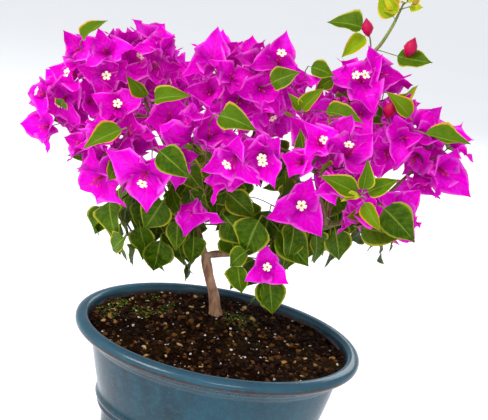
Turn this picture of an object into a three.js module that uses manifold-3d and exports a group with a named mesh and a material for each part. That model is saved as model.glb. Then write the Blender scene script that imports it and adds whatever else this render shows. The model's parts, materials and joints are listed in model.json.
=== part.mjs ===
// A small potted bougainvillea, grown as a broad, flat-topped bonsai in an oval glazed pot.
//
// Millimetres, +Z up. The origin is the centre of the pot's flat underside, +X runs along the
// pot's long side and +Y towards its back, so the front of the plant looks along -Y.
//
// The pot and its soil are stretched lathes, the woody parts are tapering limbs along curves, and
// each mass of bloom or leaves is an uneven rounded solid. Masses that meet share a seam with a
// small gap, and the boughs stop where they reach the foliage.
import * as THREE from "three";
import { mergeVertices } from "three/addons/utils/BufferGeometryUtils.js";
import Module from "manifold-3d";

const wasm = await Module();
wasm.setup();

// ---------------------------------------------------------------- driving dimensions

const POT_LENGTH = 290;
const POT_WIDTH = 208;
const POT_HEIGHT = 130;
const WALL = 6.5; // thickness of the pot's side
const FLOOR = 12; // thickness of the pot's flat bottom
const POT_SEGMENTS = 36;

const SOIL_EDGE = 120.5; // height of the soil where it meets the pot
const SOIL_TOP = 127; // height of the mound that the trunk stands on
const MOUND_RADIUS = 95;
const MOUND_PLATEAU = 16;

const GAP = 0.4; // clear space between neighbouring solids
const SEAM = 0.7; // how far a mass is grown before it cuts its neighbour

const TRUNK_BASE = new THREE.Vector3(-10, 38, SOIL_TOP + GAP);
const FORK = new THREE.Vector3(-29, 36, 191);
const TRUNK_RADIUS = 5.6;
const LIMB_SIDES = 8;
const FINE_OVER = 66; // masses with a half size over this get finer faces
const CREST = 0.5; // the height of ripple at which a mass has exactly its stated size

// ---------------------------------------------------------------- materials

const GLAZE = new THREE.MeshStandardMaterial({ color: 0x3f7285, roughness: 0.25 });
const EARTH = new THREE.MeshStandardMaterial({ color: 0x2a180e, roughness: 0.95 });
const BARK = new THREE.MeshStandardMaterial({ color: 0x9a6f50, roughness: 0.85 });
const GREEN_STEM = new THREE.MeshStandardMaterial({ color: 0x6f8f2a, roughness: 0.6 });
const BRACTS = new THREE.MeshStandardMaterial({ color: 0xc510c0, roughness: 0.55 });
const LEAVES = new THREE.MeshStandardMaterial({ color: 0x33650e, roughness: 0.5 });

// ---------------------------------------------------------------- solids and meshes

// A closed geometry as a solid that can be joined and cut.
function solidFrom(geometry) {
  const plain = geometry.clone();
  plain.deleteAttribute("normal");
  plain.deleteAttribute("uv");
  const merged = mergeVertices(plain, 1e-3);
  return new wasm.Manifold(
    new wasm.Mesh({
      numProp: 3,
      vertProperties: merged.attributes.position.array,
      triVerts: new Uint32Array(merged.index.array),
    }),
  );
}

// The largest body of a solid, as a geometry. Cutting can leave crumbs, which are dropped.
function geometryFrom(solid) {
  const bodies = solid.decompose();
  const largest = bodies.reduce((a, b) => (b.volume() > a.volume() ? b : a));
  const mesh = largest.getMesh();
  const position = new THREE.BufferAttribute(new Float32Array(mesh.vertProperties), 3);
  const index = new THREE.BufferAttribute(new Uint32Array(mesh.triVerts), 1);
  return new THREE.BufferGeometry().setAttribute("position", position).setIndex(index);
}

// A repeatable wavy field in three dimensions, from -1 to 1, that differs for each seed.
function ripple(direction, seed) {
  const { x, y, z } = direction;
  const slow = Math.sin(2.3 * x + 1.7 * seed) * Math.cos(2.9 * y - 0.6 * seed);
  const middle = Math.sin(4.1 * z + 2.2 * x + 0.9 * seed) * Math.cos(3.7 * y + 1.3 * seed);
  const quick = Math.sin(7.3 * x - 5.9 * y + 6.7 * z + 2.1 * seed);
  return 0.5 * slow + 0.32 * middle + 0.18 * quick;
}

const group = new THREE.Group();

function addMesh(name, geometry, material) {
  const mesh = new THREE.Mesh(geometry, material);
  mesh.name = name;
  group.add(mesh);
  return mesh;
}

// ---------------------------------------------------------------- the pot and the soil

const HALF_LENGTH = POT_LENGTH / 2;
const HALF_WIDTH = POT_WIDTH / 2;
const STRETCH = HALF_LENGTH - HALF_WIDTH; // how much longer than wide the oval is, each way
const STRETCH_RAMP = HALF_WIDTH / 2; // nearer the axis than this, the stretch fades to nothing

// Turns a round profile of (inset from the rim's edge, height) points into an oval solid. The
// inset is the same all round, as it is on a pressed pot, so the lip keeps one width.
function ovalLathe(profile) {
  const points = profile.map(([inset, height]) => {
    const radius = inset === null ? 0 : HALF_WIDTH - inset;
    return new THREE.Vector2(radius, height);
  });
  const geometry = new THREE.LatheGeometry(points, POT_SEGMENTS);
  geometry.rotateX(Math.PI / 2);
  const position = geometry.attributes.position;
  for (let i = 0; i < position.count; i++) {
    const x = position.getX(i);
    const radius = Math.hypot(x, position.getY(i));
    if (radius < 1e-6) continue;
    position.setX(i, x + (x / radius) * STRETCH * Math.min(1, radius / STRETCH_RAMP));
  }
  return geometry;
}

const AXIS = null; // an inset of null lies on the pot's axis

function potProfile() {
  const foot = [[AXIS, 0], [38, 0], [36.8, 1.2], [35.5, 26]];
  const lowerBand = [[33, 28.5], [30.5, 30], [29.8, 32.5], [31.6, 35.5]];
  const upperBand = [[28.6, 38], [27.2, 41.5], [28.2, 45], [29.4, 47]];
  const side = [[18.2, 103.5], [16.4, 105.5], [15.6, 108.5]];
  const lip = [[11, 113], [5, 117], [1.3, 120.4], [0, 124], [1.2, 127.4], [4.2, 129.6]];
  const inside = [[8, POT_HEIGHT], [11, 129.5], [12.4, 127.8], [14.6, 121], [18.2 + WALL, 103.5]];
  const basin = [[29.4 + WALL, 47], [35.5 + WALL, 26], [47, FLOOR + 1], [49, FLOOR], [AXIS, FLOOR]];
  return [...foot, ...lowerBand, ...upperBand, ...side, ...lip, ...inside, ...basin];
}

// Height of the soil at a place: a low mound, flat where the trunk stands, falling to the edge.
function soilHeight(x, y) {
  const away = Math.hypot(x - TRUNK_BASE.x, y - TRUNK_BASE.y);
  const share = THREE.MathUtils.smoothstep(away, MOUND_PLATEAU, MOUND_RADIUS);
  const uneven = 0.9 * ripple(new THREE.Vector3(x / 24, y / 24, 0.4), 5) * Math.sin(Math.PI * share);
  return THREE.MathUtils.lerp(SOIL_TOP, SOIL_EDGE, share) + uneven;
}

function soilGeometry() {
  const inner = 14.6 + GAP; // inset of the pot's inside at the soil's edge
  const body = [[AXIS, FLOOR + GAP], [49.4, FLOOR + GAP], [47.5, FLOOR + 1.6], [36 + WALL, 26.2]];
  const sides = [[29.9 + WALL, 47.2], [18.8 + WALL, 103.5], [inner + 0.4, SOIL_EDGE]];
  const rings = [24, 36, 50, 66, 82, 94].map((inset) => [inset, SOIL_EDGE]);
  const geometry = ovalLathe([...body, ...sides, ...rings, [AXIS, SOIL_EDGE]]);
  const position = geometry.attributes.position;
  for (let i = 0; i < position.count; i++) {
    if (position.getZ(i) < SOIL_EDGE - 1e-3) continue;
    position.setZ(i, Math.min(SOIL_TOP, soilHeight(position.getX(i), position.getY(i))));
  }
  return geometry;
}

addMesh("pot", ovalLathe(potProfile()), GLAZE);
addMesh("soil", soilGeometry(), EARTH);

// ---------------------------------------------------------------- trunk and boughs

// A tapering limb along a smooth curve: rings of sides, closed at both ends. radii lists the
// limb's radius at evenly spaced places from start to end, and grow thickens it all along.
function limbGeometry(points, radii, grow = 0, rings = 9) {
  const curve = new THREE.CatmullRomCurve3(points);
  const frames = curve.computeFrenetFrames(rings, false);
  const positions = [];
  const faces = [];
  const radiusAt = (t) => {
    const place = t * (radii.length - 1);
    const low = Math.min(Math.floor(place), radii.length - 2);
    return THREE.MathUtils.lerp(radii[low], radii[low + 1], place - low) + grow;
  };
  for (let i = 0; i <= rings; i++) {
    const centre = curve.getPointAt(i / rings);
    const radius = radiusAt(i / rings);
    for (let side = 0; side < LIMB_SIDES; side++) {
      const turn = (side / LIMB_SIDES) * 2 * Math.PI;
      const out = frames.normals[i]
        .clone()
        .multiplyScalar(Math.cos(turn) * radius)
        .addScaledVector(frames.binormals[i], Math.sin(turn) * radius);
      positions.push(...centre.clone().add(out).toArray());
    }
  }
  for (let i = 0; i < rings; i++) {
    for (let side = 0; side < LIMB_SIDES; side++) {
      const next = (side + 1) % LIMB_SIDES;
      const [a, b] = [i * LIMB_SIDES + side, i * LIMB_SIDES + next];
      faces.push(a, b, b + LIMB_SIDES, a, b + LIMB_SIDES, a + LIMB_SIDES);
    }
  }
  const last = rings * LIMB_SIDES;
  for (let side = 1; side < LIMB_SIDES - 1; side++) {
    faces.push(0, side + 1, side);
    faces.push(last, last + side, last + side + 1);
  }
  return new THREE.BufferGeometry()
    .setAttribute("position", new THREE.Float32BufferAttribute(positions, 3))
    .setIndex(faces);
}

const vector = ([x, y, z]) => new THREE.Vector3(x, y, z);

// The trunk leans to the left from a slight root flare, and thickens again under the fork. Its
// curve starts a little below its foot, where a level cut then makes its flat base.
const TRUNK_PATH = [
  new THREE.Vector3(-8.5, 38, SOIL_TOP - 6),
  TRUNK_BASE,
  new THREE.Vector3(-14, 38.5, 146),
  new THREE.Vector3(-23, 37, 170),
  FORK,
];
const FLARE = [1.5, 1.2, 1, 0.94, 0.92, 0.96, 1.04, 1.02, 0.85];
const TRUNK_RADII = FLARE.map((share) => share * TRUNK_RADIUS);

// The boughs start inside the fork and run on into the foliage, where they are cut.
const BOUGHS = {
  leader_bough: {
    path: [[-29, 36, 188], [-37, 36, 209], [-43, 37, 228], [-42, 40, 260]],
    radii: [4.2, 3.1, 2.6, 2.3],
  },
  right_bough: {
    path: [[-28, 36, 189], [-16, 34, 195], [-2, 32, 199], [15, 29, 206], [42, 22, 224]],
    radii: [4.3, 3.7, 3.3, 3.0, 2.4],
  },
  left_bough: {
    path: [[-40, 37, 217], [-55, 36, 224], [-78, 33, 231], [-104, 28, 240]],
    radii: [2.4, 2.1, 1.9, 1.6],
  },
  back_bough: {
    path: [[-36, 36, 205], [-41, 50, 216], [-36, 74, 228], [-22, 104, 248]],
    radii: [2.8, 2.6, 2.4, 2.1],
  },
};

// The young shoot that stands clear above the right of the crown.
const SHOOT = {
  path: [[74, 34, 372], [86, 32, 402], [96, 31, 417], [104, 30, 428], [112, 30, 448], [119, 29, 470]],
  radii: [1.9, 1.7, 1.5, 1.3, 1.1, 0.9],
};

// ---------------------------------------------------------------- masses of bloom and leaves

// Each mass: its centre, its half sizes along X, Y and Z, and how uneven it is. They are listed
// from the front and the outside inwards, because an earlier mass cuts the ones after it.
const MASSES = {
  shoot_tip_leaves: { at: [116, 29, 474], half: [24, 14, 23], rough: 0.4 },
  shoot_left_leaves: { at: [79, 30, 434], half: [23, 14, 20], rough: 0.4 },
  shoot_right_leaves: { at: [134, 27, 423], half: [21, 13, 15], rough: 0.4 },
  hanging_leaves: { at: [37, -20, 193], half: [32, 25, 36], rough: 0.5 },
  bloom_far_left: { at: [-183, 20, 326], half: [50, 56, 48], rough: 0.5 },
  bloom_far_right: { at: [168, 14, 343], half: [49, 56, 48], rough: 0.5 },
  bloom_low_left: { at: [-110, -52, 304], half: [58, 56, 46], rough: 0.5 },
  bloom_low_right: { at: [127, -34, 294], half: [60, 48, 34], rough: 0.5 },
  bloom_front: { at: [-16, -62, 330], half: [66, 52, 52], rough: 0.5 },
  bloom_front_right: { at: [78, -58, 336], half: [58, 50, 50], rough: 0.5 },
  bloom_top_left: { at: [-130, 36, 370], half: [70, 72, 54], rough: 0.5 },
  bloom_top_right: { at: [100, 34, 374], half: [66, 70, 50], rough: 0.5 },
  bloom_top: { at: [-20, 40, 371], half: [78, 78, 52], rough: 0.5 },
  bloom_back_left: { at: [-116, 128, 330], half: [68, 58, 58], rough: 0.5 },
  bloom_back_right: { at: [92, 128, 328], half: [70, 58, 56], rough: 0.5 },
  bloom_back: { at: [-14, 146, 334], half: [64, 56, 60], rough: 0.5 },
  leaves_low_left: { at: [-97, 12, 220], half: [58, 54, 50], rough: 0.55 },
  leaves_low_right: { at: [44, 4, 240], half: [54, 52, 48], rough: 0.55 },
  leaves_right: { at: [112, 40, 254], half: [58, 54, 42], rough: 0.55 },
  leaves_middle: { at: [-38, 22, 264], half: [54, 58, 46], rough: 0.5 },
  leaves_back: { at: [-6, 112, 264], half: [86, 52, 44], rough: 0.5 },
};

// An uneven rounded solid. grow swells it evenly, for cutting a clear seam into a neighbour.
function massSolid({ at, half, rough }, seed, grow = 0) {
  const geometry = new THREE.IcosahedronGeometry(1, Math.max(...half) > FINE_OVER ? 3 : 2);
  const position = geometry.attributes.position;
  const direction = new THREE.Vector3();
  for (let i = 0; i < position.count; i++) {
    direction.fromBufferAttribute(position, i).normalize();
    const swell = 1 + (rough / 2) * (ripple(direction, seed) - CREST);
    position.setXYZ(
      i,
      at[0] + direction.x * (half[0] * swell + grow),
      at[1] + direction.y * (half[1] * swell + grow),
      at[2] + direction.z * (half[2] * swell + grow),
    );
  }
  return solidFrom(geometry);
}

const massNames = Object.keys(MASSES);
const swollen = massNames.map((name, i) => massSolid(MASSES[name], i + 1, SEAM));
massNames.forEach((name, i) => {
  let solid = massSolid(MASSES[name], i + 1);
  swollen.slice(0, i).forEach((earlier) => {
    solid = solid.subtract(earlier);
  });
  addMesh(name, geometryFrom(solid), /bloom/.test(name) ? BRACTS : LEAVES);
});

// ---------------------------------------------------------------- the wood, cut to fit

// The ground is a block under the trunk's foot, whose level top makes the trunk's flat cut.
const GROUND_SIDE = 400;
const ground = solidFrom(new THREE.BoxGeometry(GROUND_SIDE, GROUND_SIDE, GROUND_SIDE))
  .translate([0, 0, TRUNK_BASE.z - GROUND_SIDE / 2]);
const trunk = solidFrom(limbGeometry(TRUNK_PATH, TRUNK_RADII)).subtract(ground);
addMesh("trunk", geometryFrom(trunk), BARK);

// Each bough is cut clear of the wood it springs from, and ends at the first mass it meets.
let wood = solidFrom(limbGeometry(TRUNK_PATH, TRUNK_RADII, GAP));
for (const [name, { path, radii }] of Object.entries(BOUGHS)) {
  let bough = solidFrom(limbGeometry(path.map(vector), radii)).subtract(wood);
  swollen.forEach((mass) => {
    bough = bough.subtract(mass);
  });
  addMesh(name, geometryFrom(bough), BARK);
  wood = wood.add(solidFrom(limbGeometry(path.map(vector), radii, GAP)));
}

let shoot = solidFrom(limbGeometry(SHOOT.path.map(vector), SHOOT.radii));
swollen.forEach((mass) => {
  shoot = shoot.subtract(mass);
});
addMesh("shoot_stem", geometryFrom(shoot), GREEN_STEM);

export default group;
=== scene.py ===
# %% [markdown]
# # A potted bougainvillea
#
# A small bougainvillea trained as a bonsai: a leaning, forked trunk, a broad crown of papery
# pink-purple bracts over dark leaves, and an oval pot with a blue-green glaze.
#
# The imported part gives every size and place. It is loaded first and stays fixed. The pieces made
# here take the place of its plain solids: the pot and the soil keep their shape and get finer
# surfaces, the wood gets bark, and each rounded mass of the crown becomes twigs, leaves and
# bracts that grow on from the boughs.

# %% Load the part
import json
import math

import bmesh
import bpy
import numpy as np
from mathutils import Matrix, Vector, noise
from mathutils.bvhtree import BVHTree

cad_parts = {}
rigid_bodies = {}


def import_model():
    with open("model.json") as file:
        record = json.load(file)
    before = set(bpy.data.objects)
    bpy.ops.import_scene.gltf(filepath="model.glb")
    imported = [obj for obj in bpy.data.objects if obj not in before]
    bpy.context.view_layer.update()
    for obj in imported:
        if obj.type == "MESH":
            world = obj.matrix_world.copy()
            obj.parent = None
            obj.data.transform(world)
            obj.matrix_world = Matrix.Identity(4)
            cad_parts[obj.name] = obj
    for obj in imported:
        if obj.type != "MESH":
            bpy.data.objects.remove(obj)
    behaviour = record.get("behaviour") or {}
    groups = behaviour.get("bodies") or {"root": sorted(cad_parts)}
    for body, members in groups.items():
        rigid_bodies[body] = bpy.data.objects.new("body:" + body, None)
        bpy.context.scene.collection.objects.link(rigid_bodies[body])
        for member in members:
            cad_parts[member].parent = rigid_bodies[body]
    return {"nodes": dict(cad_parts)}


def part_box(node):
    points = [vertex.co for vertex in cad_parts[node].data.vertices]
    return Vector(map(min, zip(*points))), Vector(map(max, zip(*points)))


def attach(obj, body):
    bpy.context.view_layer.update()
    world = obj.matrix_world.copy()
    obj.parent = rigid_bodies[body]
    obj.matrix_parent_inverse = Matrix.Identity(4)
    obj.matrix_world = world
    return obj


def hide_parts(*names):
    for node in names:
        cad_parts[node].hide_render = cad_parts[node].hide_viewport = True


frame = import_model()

MM = 0.001
UP = np.array([0.0, 0.0, 1.0])
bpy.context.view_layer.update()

# %% [markdown]
# ## The camera, the light and the floor
#
# The plant is seen from in front and above, a little from its right, by someone who holds the
# camera slightly askew, so the camera is turned about its own line of sight. Its three axes are
# given as a matrix, which says exactly that, where angles would have to be untangled.
#
# The studio is plain: a pale floor, a pale sky that fills the shadows, one broad lamp above on the
# left that shapes the petals, a long one in front that draws the glint along the pot's lip, and
# one behind that keeps the far side of the crown from going dark.

# %% Camera
RIGHTWARDS = Vector((0.9749, 0.1659, 0.1484))
UPWARDS = Vector((-0.1912, 0.2832, 0.9398))
BACKWARDS = RIGHTWARDS.cross(UPWARDS).normalized()
STAND_POINT = Vector((0.0949, -0.7221, 0.4932))
PLANT_HEART = Vector((0.0, 0.0, 0.26))


def new_object(name, data):
    """An object in the scene's own collection."""
    made = bpy.data.objects.new(name, data)
    bpy.context.scene.collection.objects.link(made)
    return made


camera_data = bpy.data.cameras.new("camera")
camera_data.lens = 59.0
camera_data.sensor_width = 36.0
camera_data.clip_start = 0.01
camera = new_object("camera", camera_data)
camera.matrix_world = Matrix.Translation(STAND_POINT) @ Matrix(
    (RIGHTWARDS, UPWARDS, BACKWARDS)
).transposed().to_4x4()
bpy.context.scene.camera = camera
bpy.context.scene.view_settings.view_transform = "Standard"
print("camera", round((STAND_POINT - PLANT_HEART).length, 3), "m from the plant")

# %% [markdown]
# Every material and every Geometry Nodes tree below is written as Python arithmetic. `Wire` wraps
# one socket of a node tree: `1 - wire * 2` adds the Math nodes that work it out, and `add` puts in
# any other node, sets its settings and joins its sockets.

# %% The wire helper
class Wire:
    """One socket of a node tree, which Python's operators work on."""

    def __init__(self, tree, socket=None):
        self.tree = tree
        self.socket = socket

    def add(self, kind, settings=None, sockets=None, out=0):
        """Adds a node: its settings first, then the values or wires of its sockets."""
        node = self.tree.nodes.new(kind)
        for key, value in (settings or {}).items():
            if key == "stops":
                ramp = node.color_ramp
                ramp.elements.remove(ramp.elements[1])
                for number, (place, colour) in enumerate(value):
                    stop = ramp.elements[0] if number == 0 else ramp.elements.new(place)
                    stop.position = place
                    stop.color = colour
            else:
                setattr(node, key, value)
        for key, value in (sockets or {}).items():
            if isinstance(value, Wire):
                self.tree.links.new(value.socket, node.inputs[key])
            else:
                node.inputs[key].default_value = value
        return Wire(self.tree, node.outputs[out] if len(node.outputs) else None)

    def math(self, operation, *values, clamp=False):
        settings = {"operation": operation, "use_clamp": clamp}
        return self.add("ShaderNodeMath", settings, dict(enumerate(values)))

    def __add__(self, other):
        return self.math("ADD", self, other)

    __radd__ = __add__

    def __sub__(self, other):
        return self.math("SUBTRACT", self, other)

    def __rsub__(self, other):
        return self.math("SUBTRACT", other, self)

    def __mul__(self, other):
        return self.math("MULTIPLY", self, other)

    __rmul__ = __mul__

    def __truediv__(self, other):
        return self.math("DIVIDE", self, other)

    def __rtruediv__(self, other):
        return self.math("DIVIDE", other, self)

    def __pow__(self, other):
        return self.math("POWER", self, other)

    def __abs__(self):
        return self.math("ABSOLUTE", self)

    def rise(self, low, high):
        """0 below low, 1 above high, and smooth between them."""
        settings = {"interpolation_type": "SMOOTHSTEP"}
        return self.add("ShaderNodeMapRange", settings, {0: self, 1: low, 2: high})

    def vector(self, x, y, z):
        """A vector made of three numbers or wires."""
        return self.add("ShaderNodeCombineXYZ", sockets={0: x, 1: y, 2: z})

    def parts(self):
        """The X, Y and Z of a vector, as three wires."""
        node = self.add("ShaderNodeSeparateXYZ", sockets={0: self}).socket.node
        return [Wire(self.tree, socket) for socket in node.outputs]


# %% Colours
def blend(share, first, second, how="MIX"):
    """One colour over another, by a share that may vary."""
    settings = {"data_type": "RGBA", "blend_type": how}
    return share.add("ShaderNodeMix", settings, {0: share, 6: first, 7: second}, out=2)


def paint(code, alpha=1.0):
    """A colour written as six hex digits, as Blender's linear values."""
    shares = [int(code[i : i + 2], 16) / 255 for i in (0, 2, 4)]
    return (*[s / 12.92 if s <= 0.04045 else ((s + 0.055) / 1.055) ** 2.4 for s in shares], alpha)


def coats(first, *layers):
    """Colours laid one over another: the first, then (share, colour) for each coat."""
    tone = paint(first) if isinstance(first, str) else first
    for share, code in layers:
        tone = blend(share, tone, paint(code))
    return tone


# %% [markdown]
# A finish is a material around one Principled shader. Values that are the same all over are set on
# the shader itself, and those that vary are wired to it afterwards. Pictures could be painted and
# wrapped round each piece instead, but noise needs no picture and never repeats or stretches.

# %% The finish helper
def new_finish(name, **constants):
    """A material, a wire to build on, its object coordinates and its shader's sockets."""
    material = bpy.data.materials.new(name)
    material.use_nodes = True
    tree = material.node_tree
    shader = tree.nodes["Principled BSDF"]
    for label, value in constants.items():
        shader.inputs[label.replace("_", " ")].default_value = value
    start = Wire(tree)
    place = start.add("ShaderNodeTexCoord", out=3)
    return material, start, place, shader.inputs


def cloud(place, scale, detail=4.0, roughness=0.55, stretch=None):
    """Noise of a given scale per metre, from 0 to 1, stretched along the axes if asked."""
    if stretch:
        place = place.add("ShaderNodeMapping", sockets={0: place, 3: stretch})
    sockets = {"Vector": place, "Scale": scale, "Detail": detail, "Roughness": roughness}
    return place.add("ShaderNodeTexNoise", {"noise_dimensions": "3D"}, sockets)


def wire_up(inputs, **wires):
    """Joins wires to the shader's sockets."""
    for label, wire in wires.items():
        wire.tree.links.new(wire.socket, inputs[label.replace("_", " ")])


def raised(height, depth, strength=1.0):
    """A surface's fine relief, of a depth in metres, as a normal."""
    sockets = {"Height": height, "Distance": depth, "Strength": strength}
    return height.add("ShaderNodeBump", sockets=sockets)


# %% What a finish goes by
def own_map(start):
    """A piece's own map: round or across it, and along it from its foot to its tip."""
    across, along, _ = start.add("ShaderNodeUVMap", {"uv_map": "UVMap"}).parts()
    return across, along


def own_number(start):
    """The number from 0 to 1 that each copy carries for its colour."""
    return start.add("ShaderNodeAttribute", {"attribute_name": "tint"}, out=2)


def ramp(number, *stops):
    """A colour that goes by a number through (place, colour) stops."""
    colours = [(place, paint(code)) for place, code in stops]
    return number.add("ShaderNodeValToRGB", {"stops": colours}, {0: number})


def count_nodes(*made):
    """Prints how many nodes some finishes or trees are made of."""
    for thing in made:
        tree = thing.node_tree if isinstance(thing, bpy.types.Material) else thing
        print(thing.name, "has", len(tree.nodes), "nodes")


# %% Lamps
def add_lamp(name, place, size, power, colour):
    """A soft rectangular lamp that points at the middle of the plant."""
    data = bpy.data.lights.new(name, "AREA")
    data.shape = "RECTANGLE"
    data.size, data.size_y = size
    data.energy = power
    data.color = colour
    lamp = new_object(name, data)
    lamp.location = place
    aim = PLANT_HEART - lamp.location
    lamp.rotation_mode = "QUATERNION"
    lamp.rotation_quaternion = aim.to_track_quat("-Z", "Y")


WARM, WHITE, COOL = (1.0, 0.97, 0.92), (1.0, 1.0, 1.0), (0.97, 0.98, 1.0)
add_lamp("window_left", (-1.0, -0.9, 1.5), size=(0.8, 0.7), power=24.0, colour=WARM)
add_lamp("window_front", (0.25, -1.3, 1.25), size=(0.5, 0.14), power=5.0, colour=WHITE)
add_lamp("window_back", (0.6, 1.3, 1.2), size=(1.2, 0.8), power=14.0, colour=COOL)

# %% Sky
world = bpy.data.worlds.new("pale_sky")
bpy.context.scene.world = world
world.use_nodes = True
sky = Wire(world.node_tree)
_, _, climb = sky.add("ShaderNodeTexCoord").parts()
GLOW_LOW, GLOW_LOST, GLOW_TURN = 0.86, 0.42, 0.45
glow = GLOW_LOW - climb.rise(0.0, GLOW_TURN) * GLOW_LOST
backdrop = world.node_tree.nodes["Background"].inputs
backdrop["Color"].default_value = (0.93, 0.96, 1.0, 1.0)
wire_up(backdrop, Strength=glow)
print("the sky glows from", GLOW_LOW, "down to", round(GLOW_LOW - GLOW_LOST, 2))

# %% Floor
FLOOR_HALF = 60.0
floor_mesh = bpy.data.meshes.new("floor")
floor_mesh.from_pydata(
    [(x * FLOOR_HALF, y * FLOOR_HALF, 0.0) for x, y in ((-1, -1), (1, -1), (1, 1), (-1, 1))],
    [],
    [(0, 1, 2, 3)],
)
floor = new_object("floor", floor_mesh)
floor_finish, start, place, shader = new_finish("pale_floor", Roughness=0.7, Emission_Strength=0.43)
tone = coats("f4f6f9", (cloud(place, 1.5), "fafbfd"))
wire_up(shader, Base_Color=tone, Emission_Color=tone)
floor_mesh.materials.append(floor_finish)
print("floor", 2 * FLOOR_HALF, "m wide")

# %% [markdown]
# ## Geometry Nodes from Python
#
# A tree is made with named inputs, so its sizes can be changed later without opening it. Running
# it on a mesh gives a plain mesh back: the modifier's inputs are set before the first evaluation,
# and the result replaces the modifier.

# %% Making a tree
def new_growing_tree(name, **inputs):
    """A Geometry Nodes tree and its input wires. Each input is (kind, value)."""
    tree = bpy.data.node_groups.new(name, "GeometryNodeTree")
    tree.interface.new_socket("Shape", in_out="INPUT", socket_type="NodeSocketGeometry")
    for label, (kind, value) in inputs.items():
        socket = tree.interface.new_socket(
            label.replace("_", " "), in_out="INPUT", socket_type="NodeSocket" + kind
        )
        if value is not None:
            socket.default_value = value
    tree.interface.new_socket("Shape", in_out="OUTPUT", socket_type="NodeSocketGeometry")
    entry = tree.nodes.new("NodeGroupInput")
    return tree, {s.name: Wire(tree, s) for s in entry.outputs if s.name}


def end_tree(wire, finish):
    """Ends a tree with real geometry in one finish."""
    solid = wire.add("GeometryNodeRealizeInstances", sockets={0: wire})
    coated = wire.add("GeometryNodeSetMaterial", sockets={"Geometry": solid, "Material": finish})
    wire.add("NodeGroupOutput", sockets={0: coated})


# %% Running a tree
def keep_result(made):
    """Puts the mesh that an object's modifiers make in place of its own, and clears them."""
    depsgraph = bpy.context.evaluated_depsgraph_get()
    result = bpy.data.meshes.new_from_object(
        made.evaluated_get(depsgraph), preserve_all_data_layers=True, depsgraph=depsgraph
    )
    made.modifiers.clear()
    made.data = result
    result.name = made.name


def run_tree(tree, name, mesh, **values):
    """Runs a tree on a mesh and leaves the result as a plain object."""
    made = new_object(name, mesh)
    modifier = made.modifiers.new("shape", "NODES")
    modifier.node_group = tree
    for item in tree.interface.items_tree:
        label = item.name.replace(" ", "_")
        if item.in_out == "INPUT" and label in values:
            modifier[item.identifier] = values[label]
    keep_result(made)
    return made


# %% Keeping a piece
def keep_piece(piece, slot, *nodes):
    """Puts a finished piece on the plant, in place of plain solids. Its slot is not used."""
    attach(piece, "root")
    if nodes:
        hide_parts(*nodes)
    print(piece.name, len(piece.data.polygons), "faces")


# %% [markdown]
# ## The pot
#
# An oval stoneware pot is thrown round and pressed oval, so its section is the same all the way
# round. The shape follows that rule: one profile, sampled along its length, is carried round the
# axis, and every point is then moved outwards along X to stretch the circle. A tree of a grid, a
# curve and one Set Position does it, with a smooth lip where the part's own pot has flat facets.
# It also stores how far along the profile each point lies.

# %% The turning tree: its profile and its sheet
turning, entry = new_growing_tree(
    "turned_oval",
    Along=("Int", 200),
    Around=("Int", 128),
    Stretch=("Float", 0.04),
    Ramp=("Float", 0.05),
    Finish=("Material", None),
)
profile = entry["Shape"].add("GeometryNodeMeshToCurve", sockets={"Mesh": entry["Shape"]})
profile = profile.add(
    "GeometryNodeCurveSplineType", {"spline_type": "CATMULL_ROM"}, {"Curve": profile}
)
sheet = profile.add(
    "GeometryNodeMeshGrid",
    sockets={0: 1.0, 1: 1.0, 2: entry["Along"], 3: entry["Around"] + 1},
)
across, along_turn, _ = sheet.add("GeometryNodeInputPosition").parts()
share = across + 0.5
turn = (along_turn + 0.5) * (2 * math.pi)
radius, _, height = profile.add(
    "GeometryNodeSampleCurve",
    {"mode": "FACTOR", "use_all_curves": True},
    {"Curves": profile, "Factor": share},
    out=1,
).parts()

# %% The turning tree: the surface
pull = entry["Stretch"] * turn.math("MINIMUM", radius / entry["Ramp"], 1.0)
oval = turn.vector(
    (radius + pull) * turn.math("COSINE", turn), radius * turn.math("SINE", turn), height
)
marked = sheet.add(
    "GeometryNodeStoreNamedAttribute",
    {"data_type": "FLOAT", "domain": "POINT"},
    {"Geometry": sheet, "Name": "along", "Value": share},
)
shaped = marked.add("GeometryNodeSetPosition", sockets={"Geometry": marked, "Position": oval})
TOUCHING = 0.001 * MM
joined = shaped.add(
    "GeometryNodeMergeByDistance", sockets={"Geometry": shaped, "Distance": TOUCHING}
)
turned = joined.add("GeometryNodeSetShadeSmooth", sockets={"Geometry": joined})
end_tree(turned, entry["Finish"])
count_nodes(turning)


# %% Turning an oval
def turn_oval(name, profile_points, **values):
    """Turns (inset, height) points into an oval solid whose faces point outwards."""
    line = bpy.data.meshes.new(name + "_profile")
    points = [((AXIS - inset) * MM, 0.0, height * MM) for inset, height in profile_points]
    line.from_pydata(points, [(i, i + 1) for i in range(len(points) - 1)], [])
    made = run_tree(turning, name, line, **values)
    shell = bmesh.new()
    shell.from_mesh(made.data)
    bmesh.ops.recalc_face_normals(shell, faces=shell.faces)
    if shell.calc_volume(signed=True) < 0:
        bmesh.ops.reverse_faces(shell, faces=shell.faces)
    shell.to_mesh(made.data)
    shell.free()
    return made


# %% Pot shape
_, pot_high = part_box("pot")
HALF_LENGTH, HALF_WIDTH, _ = pot_high
OVAL = {"Around": 144, "Stretch": HALF_LENGTH - HALF_WIDTH, "Ramp": HALF_WIDTH / 2}

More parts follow.
